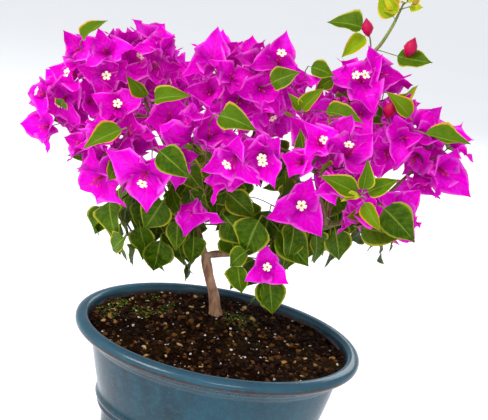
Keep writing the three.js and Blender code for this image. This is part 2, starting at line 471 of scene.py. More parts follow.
# (inset from the lip's outer edge, height), in millimetres, from the axis underneath, up the
# outside, over the lip, and down the inside to the axis again. A corner is three close points.
AXIS = HALF_WIDTH / MM
POT_PROFILE = [
    (AXIS, 0), (70, 0), (39.5, 0), (38, 0), (37.4, 0.4), (36.8, 1.2), (36.4, 5), (35.6, 24),
    (35.2, 26), (33, 28.5), (30.8, 29.8), (29.9, 32.2), (31.4, 35.3), (31, 36.4), (28.8, 37.8),
    (27.4, 41.3), (28.1, 44.6), (29.2, 46.6), (29, 50), (25, 68), (21, 88), (18.4, 102.6),
    (18, 104), (16.6, 105.4), (15.8, 108), (14.2, 110.6), (11, 113.2), (5.2, 117), (1.6, 120.2),
    (0.3, 123.6), (1.2, 127.2), (4.2, 129.4), (8, 130), (10.8, 129.4), (12.4, 127.6),
    (14.6, 121), (24.6, 103.5), (35.9, 47), (42, 26), (47, 13.2), (49, 12), (70, 12), (AXIS, 12),
]
print("pot", round(2 * HALF_LENGTH / MM), "by", round(2 * HALF_WIDTH / MM), "mm")

# %% [markdown]
# The glaze is a glossy blue-green that runs while it melts. It goes darker towards the foot, thins
# to a red-brown line along the lip's edges and the bands, and carries fine pale specks and soft
# streaks that run down. The lip's flat top is painted lighter, a painted sheen from the sky. Height
# on the pot says where the edges are, and noise stretched along Z makes the streaks.

# %% Patterns in the glaze
glaze, start, place, shader = new_finish(
    "glaze", IOR=1.45, Coat_Roughness=0.06, Specular_IOR_Level=0.3
)
x, y, z = place.parts()
streaks = cloud(place, 30, 3, 0.5, (1, 1, 0.22))
mottle = cloud(place, 160, 5, 0.6)
specks = cloud(place, 900, 2, 0.7).rise(0.6, 0.72)
WOBBLE = 0.0024
wobble = (cloud(place, 40, 3) - 0.5) * WOBBLE
level = z + wobble


def line_at(height, thickness):
    """A soft line round the pot at a height, 1 at its middle."""
    return 1 - abs(level - height).rise(thickness * 0.35, thickness)


LIP_EDGE, LIP_UNDERSIDE, UPPER_BAND, LOWER_BAND = 0.1221, 0.1046, 0.0415, 0.0312
edge = line_at(LIP_EDGE, 0.0032) + line_at(LIP_UNDERSIDE, 0.0012) * 0.5
edge = edge + line_at(UPPER_BAND, 0.002) * 0.45 + line_at(LOWER_BAND, 0.0018) * 0.45
broken = 0.55 + cloud(place, 120, 4).rise(0.36, 0.6) * 0.45
edge = edge.math("MINIMUM", edge * broken, 1.0)
bare = 1 - z.rise(0.0008, 0.0022)
print("lines round the pot, m up:", LIP_EDGE, LIP_UNDERSIDE, UPPER_BAND, LOWER_BAND)

# %% Glaze
tone = coats(
    "042c3c",
    (streaks.rise(0.3, 0.72), "0e485b"),
    (mottle.rise(0.42, 0.75) * 0.4, "1c5b6e"),
    (specks * 0.3, "6f9aa6"),
    # painted sheen: the lip's flat top is painted lighter, as the sky above lights it
    (z.rise(0.123, 0.1275) * 0.55, "3f6678"),
    (edge * 0.85, "34120e"),
    (z.rise(0.108, 0.1105) * (1 - z.rise(0.114, 0.1175)) * 0.2, "6d6450"),
    # darker towards the foot, over its lowest 30 mm
    ((1 - z.rise(0.004, 0.03)) * 0.6, "0c1c22"),
    (bare, "8a6248"),
)
wire_up(
    shader,
    Base_Color=tone,
    Roughness=0.16 + mottle * 0.14 + bare * 0.5,
    Coat_Weight=0.2 - bare * 0.2,
    Normal=raised(mottle * 0.7 + streaks * 0.6 + specks * 0.2, 0.0004, 0.5),
)
count_nodes(glaze)

# %% The pot's surface
pot = turn_oval("glazed_pot", POT_PROFILE, Along=230, Finish=glaze, **OVAL)
keep_piece(pot, "glaze", "pot")

# %% [markdown]
# ## The soil
#
# The bed is the part's own low mound, so its height is read from the part's solid by dropping a
# ray at every point. Potting mix is bark fines, peat and grit, so the surface is roughened here
# and the loose bits are scattered afterwards as real little lumps.

# %% Reading the plain solids
def mesh_points(mesh):
    """The points of a mesh, as an array."""
    points = np.empty(len(mesh.vertices) * 3)
    mesh.vertices.foreach_get("co", points)
    return points.reshape(-1, 3)


def solid_mesh(name):
    """A plain solid's corner points and its faces."""
    mesh = frame["nodes"][name].data
    return mesh_points(mesh), [tuple(face.vertices) for face in mesh.polygons]


def search_tree(points, faces):
    """A mesh as a tree that finds its surface fast."""
    return BVHTree.FromPolygons(points.tolist(), faces)


# %% Soil finish
earth, start, place, shader = new_finish("potting_soil", Roughness=0.95, Specular_IOR_Level=0.04)
grain = cloud(place, 420, 6, 0.7)
damp = cloud(place, 45, 4)
tone = coats(
    "030100",
    (grain.rise(0.38, 0.7), "241105"),
    (damp.rise(0.5, 0.7) * 0.5, "3a2a0a"),
    (cloud(place, 900, 2).rise(0.66, 0.74) * 0.7, "6a4a20"),
)
wire_up(shader, Base_Color=tone, Normal=raised(grain, 0.002, 0.9))
count_nodes(earth)

# %% Soil bed
SOIL_PROFILE = [
    (AXIS, 12.4), (70, 12.4), (49.4, 12.4), (47.5, 13.6), (42.5, 26.2), (36.4, 47.2),
    (25.3, 103.5), (15.6, 119.6), (15.1, 120.4), (16.5, 120.5), (40, 120.5), (70, 120.5),
    (AXIS, 120.5),
]
SOIL_EDGE = 120.3 * MM
DROP_HEIGHT = 0.2  # rays are dropped on the mound from here
BUMPS = ((80, 2.4), (200, 1.8), (520, 0.5))  # how many to the metre, and millimetres high
SUNK = 0.2  # millimetres
soil = turn_oval("soil_bed", SOIL_PROFILE, Along=200, Finish=earth, **OVAL)
soil_solid = search_tree(*solid_mesh("soil"))
soil_points = mesh_points(soil.data)
for point in soil_points:
    if point[2] < SOIL_EDGE:
        continue
    hit = soil_solid.ray_cast(Vector((point[0], point[1], DROP_HEIGHT)), Vector((0, 0, -1)))[0]
    level = hit.z if hit else SOIL_EDGE
    bumps = [noise.noise(Vector(point) * often) * tall for often, tall in BUMPS]
    point[2] = level + (bumps[0] + bumps[1] + bumps[2] - SUNK) * MM
soil.data.vertices.foreach_set("co", soil_points.ravel())
soil.data.update()
keep_piece(soil, "soil", "soil")

# %% [markdown]
# The loose bits are scattered by one tree with named sizes: points spread over the upward faces,
# a lumpy stone made from an ico sphere on each, turned and sized at random, with a number from 0
# to 1 stored on every one for its colour. Run five times, it makes peat crumbs, bark chips, white
# perlite grit and two patches of moss, one by the rim and one at the foot of the trunk.

# %% The scattering tree: where the bits lie
scattering, entry = new_growing_tree(
    "scattered_bits",
    Density=("Float", 50000.0),
    Size=("Float", 0.001),
    Spread=("Float", 0.5),
    Flatness=("Float", 0.7),
    Length=("Float", 1.3),
    Lumps=("Float", 0.5),
    Patchiness=("Float", 0.0),
    Patch_X=("Float", 0.0),
    Patch_Y=("Float", 0.0),
    Patch_Radius=("Float", 1.0),
    Seed=("Int", 1),
    Finish=("Material", None),
)
LEVEL_ENOUGH, BED_SURFACE = 0.6, 0.118
where = entry["Shape"].add("GeometryNodeInputPosition")
x, y, z = where.parts()
_, _, facing = where.add("GeometryNodeInputNormal").parts()
is_top = facing.math("GREATER_THAN", facing, LEVEL_ENOUGH)
is_top = is_top * z.math("GREATER_THAN", z, BED_SURFACE)
patches = where.add("ShaderNodeTexNoise", sockets={"Vector": where, "Scale": 38.0, "Detail": 2.0})
patch = 1 - entry["Patchiness"] * (1 - patches.rise(0.5, 0.62))
away = ((x - entry["Patch X"]) ** 2 + (y - entry["Patch Y"]) ** 2) ** 0.5
near = 1 - away.math("GREATER_THAN", away / entry["Patch Radius"], 1.0)
spread = entry["Shape"].add(
    "GeometryNodeDistributePointsOnFaces",
    {"distribute_method": "RANDOM"},
    {
        "Mesh": entry["Shape"],
        "Density": entry["Density"] * is_top * patch * near,
        "Seed": entry["Seed"],
    },
)


# %% The scattering tree: one stone
def draw_number(wire, low, high, seed):
    """A random number for each point."""
    sockets = {2: low, 3: high, 8: seed}
    return wire.add("FunctionNodeRandomValue", {"data_type": "FLOAT"}, sockets, out=1)


stone = spread.add("GeometryNodeMeshIcoSphere", sockets={"Radius": 1.0, "Subdivisions": 2})
stone_place = stone.add("GeometryNodeInputPosition")
lump = stone.add("ShaderNodeTexNoise", sockets={"Vector": stone_place, "Scale": 1.1, "Detail": 1.0})
swollen = stone_place.add(
    "ShaderNodeVectorMath",
    {"operation": "SCALE"},
    {0: stone_place, 3: (lump - 0.5) * entry["Lumps"] * 3.0},
)
stone = stone.add("GeometryNodeSetPosition", sockets={"Geometry": stone, "Offset": swollen})

# %% The scattering tree: stones on the places
size = draw_number(spread, 1 - entry["Spread"], 1 + entry["Spread"], 11) * entry["Size"]
scale = size.vector(size * entry["Length"], size, size * entry["Flatness"])
TILT = 0.5
lean = draw_number(spread, -TILT, TILT, 12)
turn = draw_number(spread, 0.0, 2 * math.pi, 13)
euler = lean.vector(lean, draw_number(spread, -TILT, TILT, 14), turn)
placed = spread.add(
    "GeometryNodeInstanceOnPoints",
    sockets={"Points": spread, "Instance": stone, "Rotation": euler, "Scale": scale},
)
tinted = placed.add(
    "GeometryNodeStoreNamedAttribute",
    {"data_type": "FLOAT", "domain": "INSTANCE"},
    {"Geometry": placed, "Name": "tint", "Value": draw_number(placed, 0.0, 1.0, 15)},
)
end_tree(tinted, entry["Finish"])
count_nodes(scattering)


def scatter(name, finish, **values):
    """Scatters one kind of bit over the soil and keeps it as a piece."""
    keep_piece(run_tree(scattering, name, soil.data.copy(), Finish=finish, **values), "soil")


# %% [markdown]
# The bits differ by their colour and roughness alone, so one function makes all four finishes.
# Each bit takes its own tone from its number, dark wet peat to pale dry bark, so that no two
# neighbours match, and each bit is darker where its fine relief sinks.

# %% Finishes of the loose bits
def bit_finish(name, roughness, relief, *stops):
    """A rough finish whose colour goes by each bit's own number."""
    material, start, place, shader = new_finish(name, Roughness=roughness, Specular_IOR_Level=0.15)
    grain = cloud(place, 800, 3, 0.7)
    tone = ramp(own_number(start), *stops)
    # each bit darker where its fine relief sinks
    tone = blend((1 - grain) * 0.5, tone, paint("1a0e07"), "MULTIPLY")
    wire_up(shader, Base_Color=tone, Normal=raised(grain, relief, 0.7))
    return material


crumb_stops = (0.0, "0b0402"), (0.45, "2a1406"), (0.8, "4c2a0d"), (1.0, "7a5222")
chip_stops = (0.0, "8a5a2c"), (0.5, "b98a4e"), (1.0, "d9bd84")
grit_stops = (0.0, "d8d2c4"), (1.0, "fbfaf4")
moss_stops = (0.0, "2c3a0a"), (0.6, "52641a"), (1.0, "7c8a2c")
crumb_finish = bit_finish("peat_crumbs", 0.95, 0.0008, *crumb_stops)
chip_finish = bit_finish("bark_chips", 0.85, 0.0005, *chip_stops)
grit_finish = bit_finish("perlite", 0.9, 0.0004, *grit_stops)
moss_finish = bit_finish("moss", 0.95, 0.0006, *moss_stops)
count_nodes(crumb_finish, chip_finish, grit_finish, moss_finish)

# %% Scatter them
scatter("peat_crumbs", crumb_finish, Density=52000.0, Size=1.35 * MM, Spread=0.75, Seed=3)
scatter(
    "bark_chips", chip_finish, Density=2600.0, Size=1.5 * MM, Spread=0.55, Flatness=0.4,
    Length=1.7, Seed=4,
)
scatter("perlite_grit", grit_finish, Density=3000.0, Size=0.8 * MM, Spread=0.6, Lumps=0.8, Seed=5)
scatter(
    "moss_left", moss_finish, Density=300000.0, Size=0.75 * MM, Patchiness=1.0, Patch_X=-0.1,
    Patch_Y=0.03, Patch_Radius=0.045, Seed=6,
)
scatter(
    "moss_trunk", moss_finish, Density=280000.0, Size=0.75 * MM, Patchiness=0.9, Patch_X=0.012,
    Patch_Y=0.036, Patch_Radius=0.024, Seed=7,
)

# %% [markdown]
# ## The trunk and the boughs
#
# The part gives each limb as a tapering tube. Cutting its solid with planes square to its length
# gives back its centre line and its thickness, and the finer limb is built on those. Where limbs
# meet, real wood flows together, so the tubes are run into each other, melted into one skin with a
# voxel remesh, smoothed, and only then roughened into bark.

# %% Centre lines
def unit(vectors):
    """Vectors of length one."""
    return vectors / np.maximum(np.linalg.norm(vectors, axis=-1, keepdims=True), 1e-12)


END_LEFT_OUT = 0.06  # share of a limb's length that is not cut, at each end


def centre_line(name, cuts, begins_near):
    """The centres and radii of a limb's solid, from its beginning to its end."""
    points, faces = solid_mesh(name)
    middle = points.mean(0)
    axis = np.linalg.svd(points - middle, full_matrices=False)[2][0]
    if np.dot(np.array(begins_near) - middle, axis) > 0:
        axis = -axis
    reach = (points - middle) @ axis
    centres, radii = [], []
    edges = np.array([(f[i], f[i - 1]) for f in faces for i in range(3)])
    first, second = reach[edges[:, 0]], reach[edges[:, 1]]
    for share in np.linspace(END_LEFT_OUT, 1 - END_LEFT_OUT, cuts):
        level = reach.min() + share * (reach.max() - reach.min())
        crossing = (first - level) * (second - level) < 0
        part_way = ((level - first) / (second - first))[crossing, None]
        ends = points[edges[crossing]]
        ring = ends[:, 0] * (1 - part_way) + ends[:, 1] * part_way
        centres.append((ring.min(0) + ring.max(0)) / 2)
        radii.append(np.linalg.norm(ring - centres[-1], axis=1).mean())
    return np.array(centres), np.array(radii)


trunk_line, trunk_radii = centre_line("trunk", 9, (0, 0.038, 0))
fork = trunk_line[-1]
limbs = {"trunk": (trunk_line, trunk_radii)}
BOUGHS = ("leader_bough", "right_bough", "left_bough", "back_bough")
FROM_FORK = BOUGHS[:2]
for name in BOUGHS:
    begins = fork if name in FROM_FORK else limbs["leader_bough"][0][-1]
    limbs[name] = centre_line(name, 6, begins)
stem_line, stem_radii = centre_line("shoot_stem", 5, (0.08, 0.03, 0.35))
for name, (_, radii) in limbs.items():
    ends = 2 * radii[[0, -1]] / MM
    print(name, "goes from", round(ends[0], 1), "to", round(ends[1], 1), "mm thick")

# %% Tubes
def tube(path, radii, sides):
    """Points and faces of a closed tapering tube along a path."""
    path = np.asarray(path)
    along = unit(np.gradient(path, axis=0))
    side = unit(np.cross(along[0], (0.3, 0.5, 0.81)))
    points = []
    angles = np.linspace(0, 2 * np.pi, sides, endpoint=False)
    for centre, direction, radius in zip(path, along, radii):
        side = unit(side - np.dot(side, direction) * direction)
        other = np.cross(direction, side)
        ring = np.outer(np.cos(angles), side) + np.outer(np.sin(angles), other)
        points.append(centre + radius * ring)
    faces = []
    for low in range(0, (len(path) - 1) * sides, sides):
        for j in range(sides):
            k = (j + 1) % sides
            faces.append((low + j, low + k, low + sides + k, low + sides + j))
    faces.append(tuple(range(sides - 1, -1, -1)))
    faces.append(tuple((len(path) - 1) * sides + j for j in range(sides)))
    return np.concatenate(points), faces


def join_parts(parts):
    """Points and faces of several parts as one mesh."""
    points, faces, count = [], [], 0
    for part_points, part_faces in parts:
        points.append(part_points)
        faces += [tuple(i + count for i in face) for face in part_faces]
        count += len(part_points)
    return np.concatenate(points), faces


# %% Plain pieces
def plain_piece(name, points, faces, finish, uv=None, tint=None):
    """A smooth mesh object, with a UV map and a colour number where they are given."""
    mesh = bpy.data.meshes.new(name)
    mesh.from_pydata(np.asarray(points).tolist(), [], faces)
    mesh.materials.append(finish)
    mesh.shade_smooth()
    if uv is not None:
        corner = np.empty(len(mesh.loops), np.int32)
        mesh.loops.foreach_get("vertex_index", corner)
        layer = mesh.uv_layers.new(name="UVMap")
        layer.data.foreach_set("uv", uv[corner].astype(np.float32).ravel())
    if tint is not None:
        numbers = mesh.attributes.new("tint", "FLOAT", "POINT")
        numbers.data.foreach_set("value", np.asarray(tint, np.float32))
    return new_object(name, mesh)


# %% Smooth curves
def hermite(t):
    """The shares of a smooth curve's start, leaving, end and arriving ways at t, from 0 to 1."""
    return 2 * t**3 - 3 * t**2 + 1, t**3 - 2 * t**2 + t, 3 * t**2 - 2 * t**3, t**3 - t**2


def smooth_path(points, radii, step):
    """A path and its radii resampled on a smooth curve, about one point for each step."""
    points, radii = np.asarray(points), np.asarray(radii)
    gaps = np.linalg.norm(np.diff(points, axis=0), axis=1)
    at = np.concatenate([[0], np.cumsum(gaps)])
    slope = np.gradient(points, at, axis=0)
    places = np.linspace(0, at[-1], max(3, int(at[-1] / step) + 1))
    piece = np.clip(np.searchsorted(at, places, side="right") - 1, 0, len(at) - 2)
    width = (at[piece + 1] - at[piece])[:, None]
    start, leaving, end, arriving = hermite((places - at[piece])[:, None] / width)
    curve = (
        start * points[piece]
        + leaving * width * slope[piece]
        + end * points[piece + 1]
        + arriving * width * slope[piece + 1]
    )
    return curve, np.interp(places, at, radii)


# %% Bark body
WOOD_STEP = 2.0 * MM
TRUNK_SIDES, BOUGH_SIDES = 20, 16
SUNK_SHARE = 0.1  # share of the way to a bough's first cut that its foot goes into the wood
COLLAR = 1.05  # a bough's foot against its first cut
ROOT_DEPTH = 5 * MM
ROOT_FLARE = np.array([1.3, 1.16])
FORK_RADIUS = 3.4 * MM
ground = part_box("trunk")[0].z
start_way = unit(trunk_line[0] - trunk_line[1])
foot = trunk_line[0] + start_way * (trunk_line[0][2] - ground) / -start_way[2]
trunk_path = np.concatenate([[foot - ROOT_DEPTH * UP, foot], trunk_line, [fork + 2 * MM * UP]])
trunk_width = np.concatenate([trunk_radii[0] * ROOT_FLARE, trunk_radii, [FORK_RADIUS]])
parts_of_wood = [tube(*smooth_path(trunk_path, trunk_width, WOOD_STEP), TRUNK_SIDES)]
leader = limbs["leader_bough"][0]
for name in BOUGHS:
    line, radii = limbs[name]
    on_leader = leader[np.argmin(np.linalg.norm(leader - line[0], axis=1))]
    root = fork if name in FROM_FORK else on_leader
    path = np.concatenate([[root - (line[0] - root) * SUNK_SHARE], line])
    width = np.concatenate([[radii[0] * COLLAR], radii])
    parts_of_wood.append(tube(*smooth_path(path, width, WOOD_STEP), BOUGH_SIDES))
print("pieces of wood:", len(parts_of_wood), "from", round(foot[2] - ROOT_DEPTH, 3), "m up")

# %% [markdown]
# Old bougainvillea bark is pale and pinkish brown, cracked lengthwise, with rubbed light patches
# and a little moss at the foot. Noise stretched along Z draws the cracks, since the trunk and the
# boughs all climb; a map round every limb would follow them better, but would show a seam where
# the limbs melt together.

# %% Bark finish
bark, start, place, shader = new_finish("bark", Roughness=0.85, Specular_IOR_Level=0.2)
fissures = cloud(place, 260, 5, 0.65, (1, 1, 0.28))
patches = cloud(place, 75, 4, 0.6, (1, 1, 0.5))
flecks = cloud(place, 520, 3, 0.6, (1, 1, 0.5))
_, _, z = place.parts()
mossy = (1 - z.rise(ground, ground + 0.014)) * patches.rise(0.35, 0.6)
tone = coats(
    "86604a",
    (fissures.rise(0.3, 0.7), "cf9f7e"),
    (patches.rise(0.45, 0.7) * 0.6, "e8c2a4"),
    (flecks.rise(0.62, 0.75) * 0.5, "4a3325"),
    (mossy * 0.6, "67702f"),
)
wire_up(shader, Base_Color=tone, Normal=raised(fissures + flecks * 0.4, 0.0012, 0.8))
count_nodes(bark)

# %% Bark relief
wood = plain_piece("bark_limbs", *join_parts(parts_of_wood), bark)
remesh = wood.modifiers.new("melt", "REMESH")
remesh.mode = "VOXEL"
remesh.voxel_size = 0.62 * MM
smooth = wood.modifiers.new("soften", "SMOOTH")
smooth.factor = 0.6
smooth.iterations = 14
keep_result(wood)
skin = mesh_points(wood.data)
normals = np.array([vertex.normal for vertex in wood.data.vertices])
# how many ridges to the metre along X, Y and Z, and their share of the relief
RIDGES = (((260, 260, 75), 0.38), ((70, 70, 45), 0.75))
RELIEF = 0.9 * MM
relief = [
    sum(share * noise.noise(Vector(point * often)) for often, share in RIDGES) for point in skin
]
skin = skin + normals * np.array(relief)[:, None] * RELIEF
wood.data.vertices.foreach_set("co", skin.ravel())
wood.data.shade_smooth()
wood.data.update()
keep_piece(wood, "bark", "trunk", *BOUGHS)

# %% [markdown]
# ## How the crown branches
#
# A crown grows by one rule repeated. Every spray of leaves or bracts needs a twig, and the twig
# leaves the nearest wood that already points its way, bends over towards the light and arrives
# along the spray's own axis. First a few long boughs go to the heart of each mass, then each
# spray adds its twig. Every piece of wood is as thick as the sprays that hang on it need: the
# thickness goes by a power of their number, so limbs taper on their own.

# %% Joints
SEED = 20
draw = np.random.default_rng(SEED)
joints, headings, parents, least = [], [], [], []
twigs, closed = [], []  # closed joints lie in a cluster, and nothing grows from them


def add_joint(point, heading, parent, radius=0.0):
    """Adds a joint to the skeleton and returns its number."""
    joints.append(np.asarray(point, float))
    headings.append(unit(np.asarray(heading, float)))
    parents.append(parent)
    least.append(radius)
    return len(joints) - 1


def lay_limb(points, radii, parent):
    """Puts a ready-made limb into the skeleton and returns its last joint."""
    along = unit(np.gradient(points, axis=0))
    for point, heading, radius in zip(points, along, radii):
        parent = add_joint(point, heading, parent, radius)
    return parent


# %% Growing a twig
FAR_OFF = 1.0  # put on the distance of a closed joint, so that another is always nearer
AGREEING = 0.5  # how much nearer a joint counts that already points the right way
CRAMPED, CRAMPED_COST = 5 * MM, 2 * MM  # nearer than the first counts as farther by the second
FIRST_WAY, LAST_WAY = 0.6, 0.9  # weights of the wood's and the spray's ways against a straight one
SPRING = 0.8  # how far a twig follows its first and last way


def grow_to(target, arrives, step=6 * MM, bias=1.5):
    """Grows a twig from the nearest fitting joint to a target."""
    target = np.asarray(target, float)
    here = np.array(joints)
    gap = target - here
    distance = np.linalg.norm(gap, axis=1)
    distance[closed] += FAR_OFF
    agreement = (gap / np.maximum(distance, 1e-9)[:, None] * np.array(headings)).sum(1)
    cramped = CRAMPED_COST * (distance < CRAMPED)
    begins = int(np.argmin(distance * (bias - AGREEING * agreement) + cramped))
    far = np.linalg.norm(gap[begins])
    steps = max(2, int(round(far / step)))
    t = np.linspace(0, 1, steps + 1)[:, None]
    straight = gap[begins] / max(far, 1e-9)
    first_way = unit(headings[begins] * FIRST_WAY + straight)
    last_way = unit(unit(np.asarray(arrives, float)) * LAST_WAY + straight)
    start, leaving, end, arriving = hermite(t)
    curve = (
        start * joints[begins]
        + leaving * far * SPRING * first_way
        + end * target
        + arriving * far * SPRING * last_way
    )
    along = unit(np.gradient(curve, axis=0))
    parent, chain = begins, [begins]
    for point, heading in zip(curve[1:], along[1:]):
        parent = add_joint(point, heading, parent)
        chain.append(parent)
    twigs.append(chain)
    return chain


# %% The main boughs
last = lay_limb(*limbs["trunk"], -1)
leader_top = lay_limb(*limbs["leader_bough"], last)
lay_limb(*limbs["right_bough"], last)
lay_limb(*limbs["left_bough"], leader_top)
lay_limb(*limbs["back_bough"], leader_top)

masses = [
    name for name in frame["nodes"] if name.startswith(("bloom_", "leaves_")) or "_leaves" in name
]
blooms = sorted(name for name in masses if name.startswith("bloom_"))
leafy = sorted(name for name in masses if name.startswith("leaves_"))


def within(name, *shares):
    """A place in a mass, by its shares of the mass's box along X, Y and Z."""
    low, high = (np.array(corner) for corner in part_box(name))
    return low + np.array(shares) * (high - low)


STALK = 12 * MM  # the last stretch of wood behind a spray
hearts = {name: within(name, 0.5, 0.5, 0.42) for name in blooms + leafy}
for name in sorted(hearts, key=lambda n: np.linalg.norm(hearts[n] - fork)):
    outward = unit(hearts[name] - fork)
    grow_to(hearts[name] - outward * STALK, outward + 0.3 * UP, step=8 * MM, bias=1.2)
stem_foot = grow_to(stem_line[0], stem_line[1] - stem_line[0])[-1]
print("joints in the limbs and main boughs:", len(joints))

# %% [markdown]
# ## Where the sprays sit
#
# The masses of the part give the true outline, so the sprays lie just inside their surfaces.
# Points are thrown at a mass's skin and each is kept if it has room of its own, is not buried in a
# neighbouring mass and does not close one of the windows that let the sky through. A few sprays
# that give this plant its face are set first: the low flower with its hanging leaf, the folded
# bracts over the fork, the star of young leaves on the right, and the outermost bracts.

# %% Set clusters
# name of the mass, shares of its box, the way the cluster faces, length of a bract in millimetres,
# how far it is open in degrees, turn in degrees, open flowers
SET_CLUSTERS = [
    ("hanging_leaves", (0.63, 0.22, 0.85), (0.1, -0.95, 0.15), 24, 66, 102, 1),
    ("leaves_middle", (0.55, -0.1, 0.54), (0.35, -0.6, -0.7), 33, 34, 20, 0),
    ("leaves_low_right", (0.66, -0.18, 1.07), (0.15, -0.95, 0.1), 29, 68, 70, 1),
    ("bloom_front", (0.88, 0.18, 0.6), (0.0, -0.85, -0.3), 31, 60, 300, 2),
    ("bloom_front", (0.7, 0.16, 0.52), (-0.2, -0.85, -0.35), 33, 60, 200, 1),
    ("bloom_far_right", (0.56, 0.3, 0.42), (0.55, -0.8, -0.1), 38, 62, 330, 0),
    ("bloom_far_right", (0.27, 0.25, 0.76), (0.6, -0.45, 0.7), 29, 24, 40, 0),
    ("bloom_far_left", (0.35, 0.35, 0.6), (-0.5, -0.8, 0.35), 28, 58, 180, 1),
    ("bloom_far_left", (0.4, 0.35, 0.25), (-0.45, -0.85, -0.1), 31, 62, 184, 0),
    ("bloom_low_left", (0.5, 0.42, 0.25), (-0.35, -0.85, -0.4), 38, 64, 215, 0),
    ("bloom_top_left", (0.17, 0.3, 0.56), (-0.3, -0.8, 0.45), 29, 60, 140, 0),
    ("bloom_top_left", (0.74, 0.3, 0.72), (0.1, -0.5, 0.85), 28, 46, 90, 0),
    ("bloom_top_left", (0.18, 0.24, 0.35), (-0.4, -0.85, 0.3), 30, 56, 200, 1),
    ("bloom_low_left", (0.46, 0.78, 0.86), (-0.1, -0.9, 0.3), 30, 54, 40, 1),
    ("bloom_low_left", (0.96, 0.7, 0.84), (0.0, -0.85, 0.45), 33, 58, 100, 0),
    ("bloom_low_left", (0.93, 0.16, 0.45), (0.0, -0.9, -0.3), 36, 64, 270, 1),
    ("bloom_top", (0.3, 0.35, 0.66), (-0.1, -0.8, 0.6), 34, 58, 95, 0),
    ("bloom_top", (0.76, 0.29, 0.78), (0.15, -0.75, 0.6), 33, 60, 85, 1),
    ("bloom_low_right", (0.72, 0.6, 0.32), (0.6, -0.6, -0.3), 30, 56, 320, 0),
    ("bloom_low_right", (0.57, 0.6, 0.25), (-0.1, -0.6, -0.75), 24, 50, 260, 0),
    ("bloom_top_right", (0.46, 0.26, 0.72), (0.1, -0.85, 0.5), 34, 64, 60, 2),
    ("bloom_top_right", (0.02, 0.1, 0.6), (-0.1, -0.6, 0.7), 22, 24, 0, 0),
    ("bloom_top_right", (0.57, 0.31, 0.81), (0.6, -0.7, 0.25), 27, 60, 0, 0),
    ("bloom_far_right", (0.13, 0.19, 0.66), (0.1, -0.9, 0.1), 27, 50, 20, 0),
    ("bloom_far_right", (0.03, 0.46, 0.46), (-0.1, -0.85, -0.3), 30, 56, 150, 0),
]
print("clusters set by hand:", len(SET_CLUSTERS))

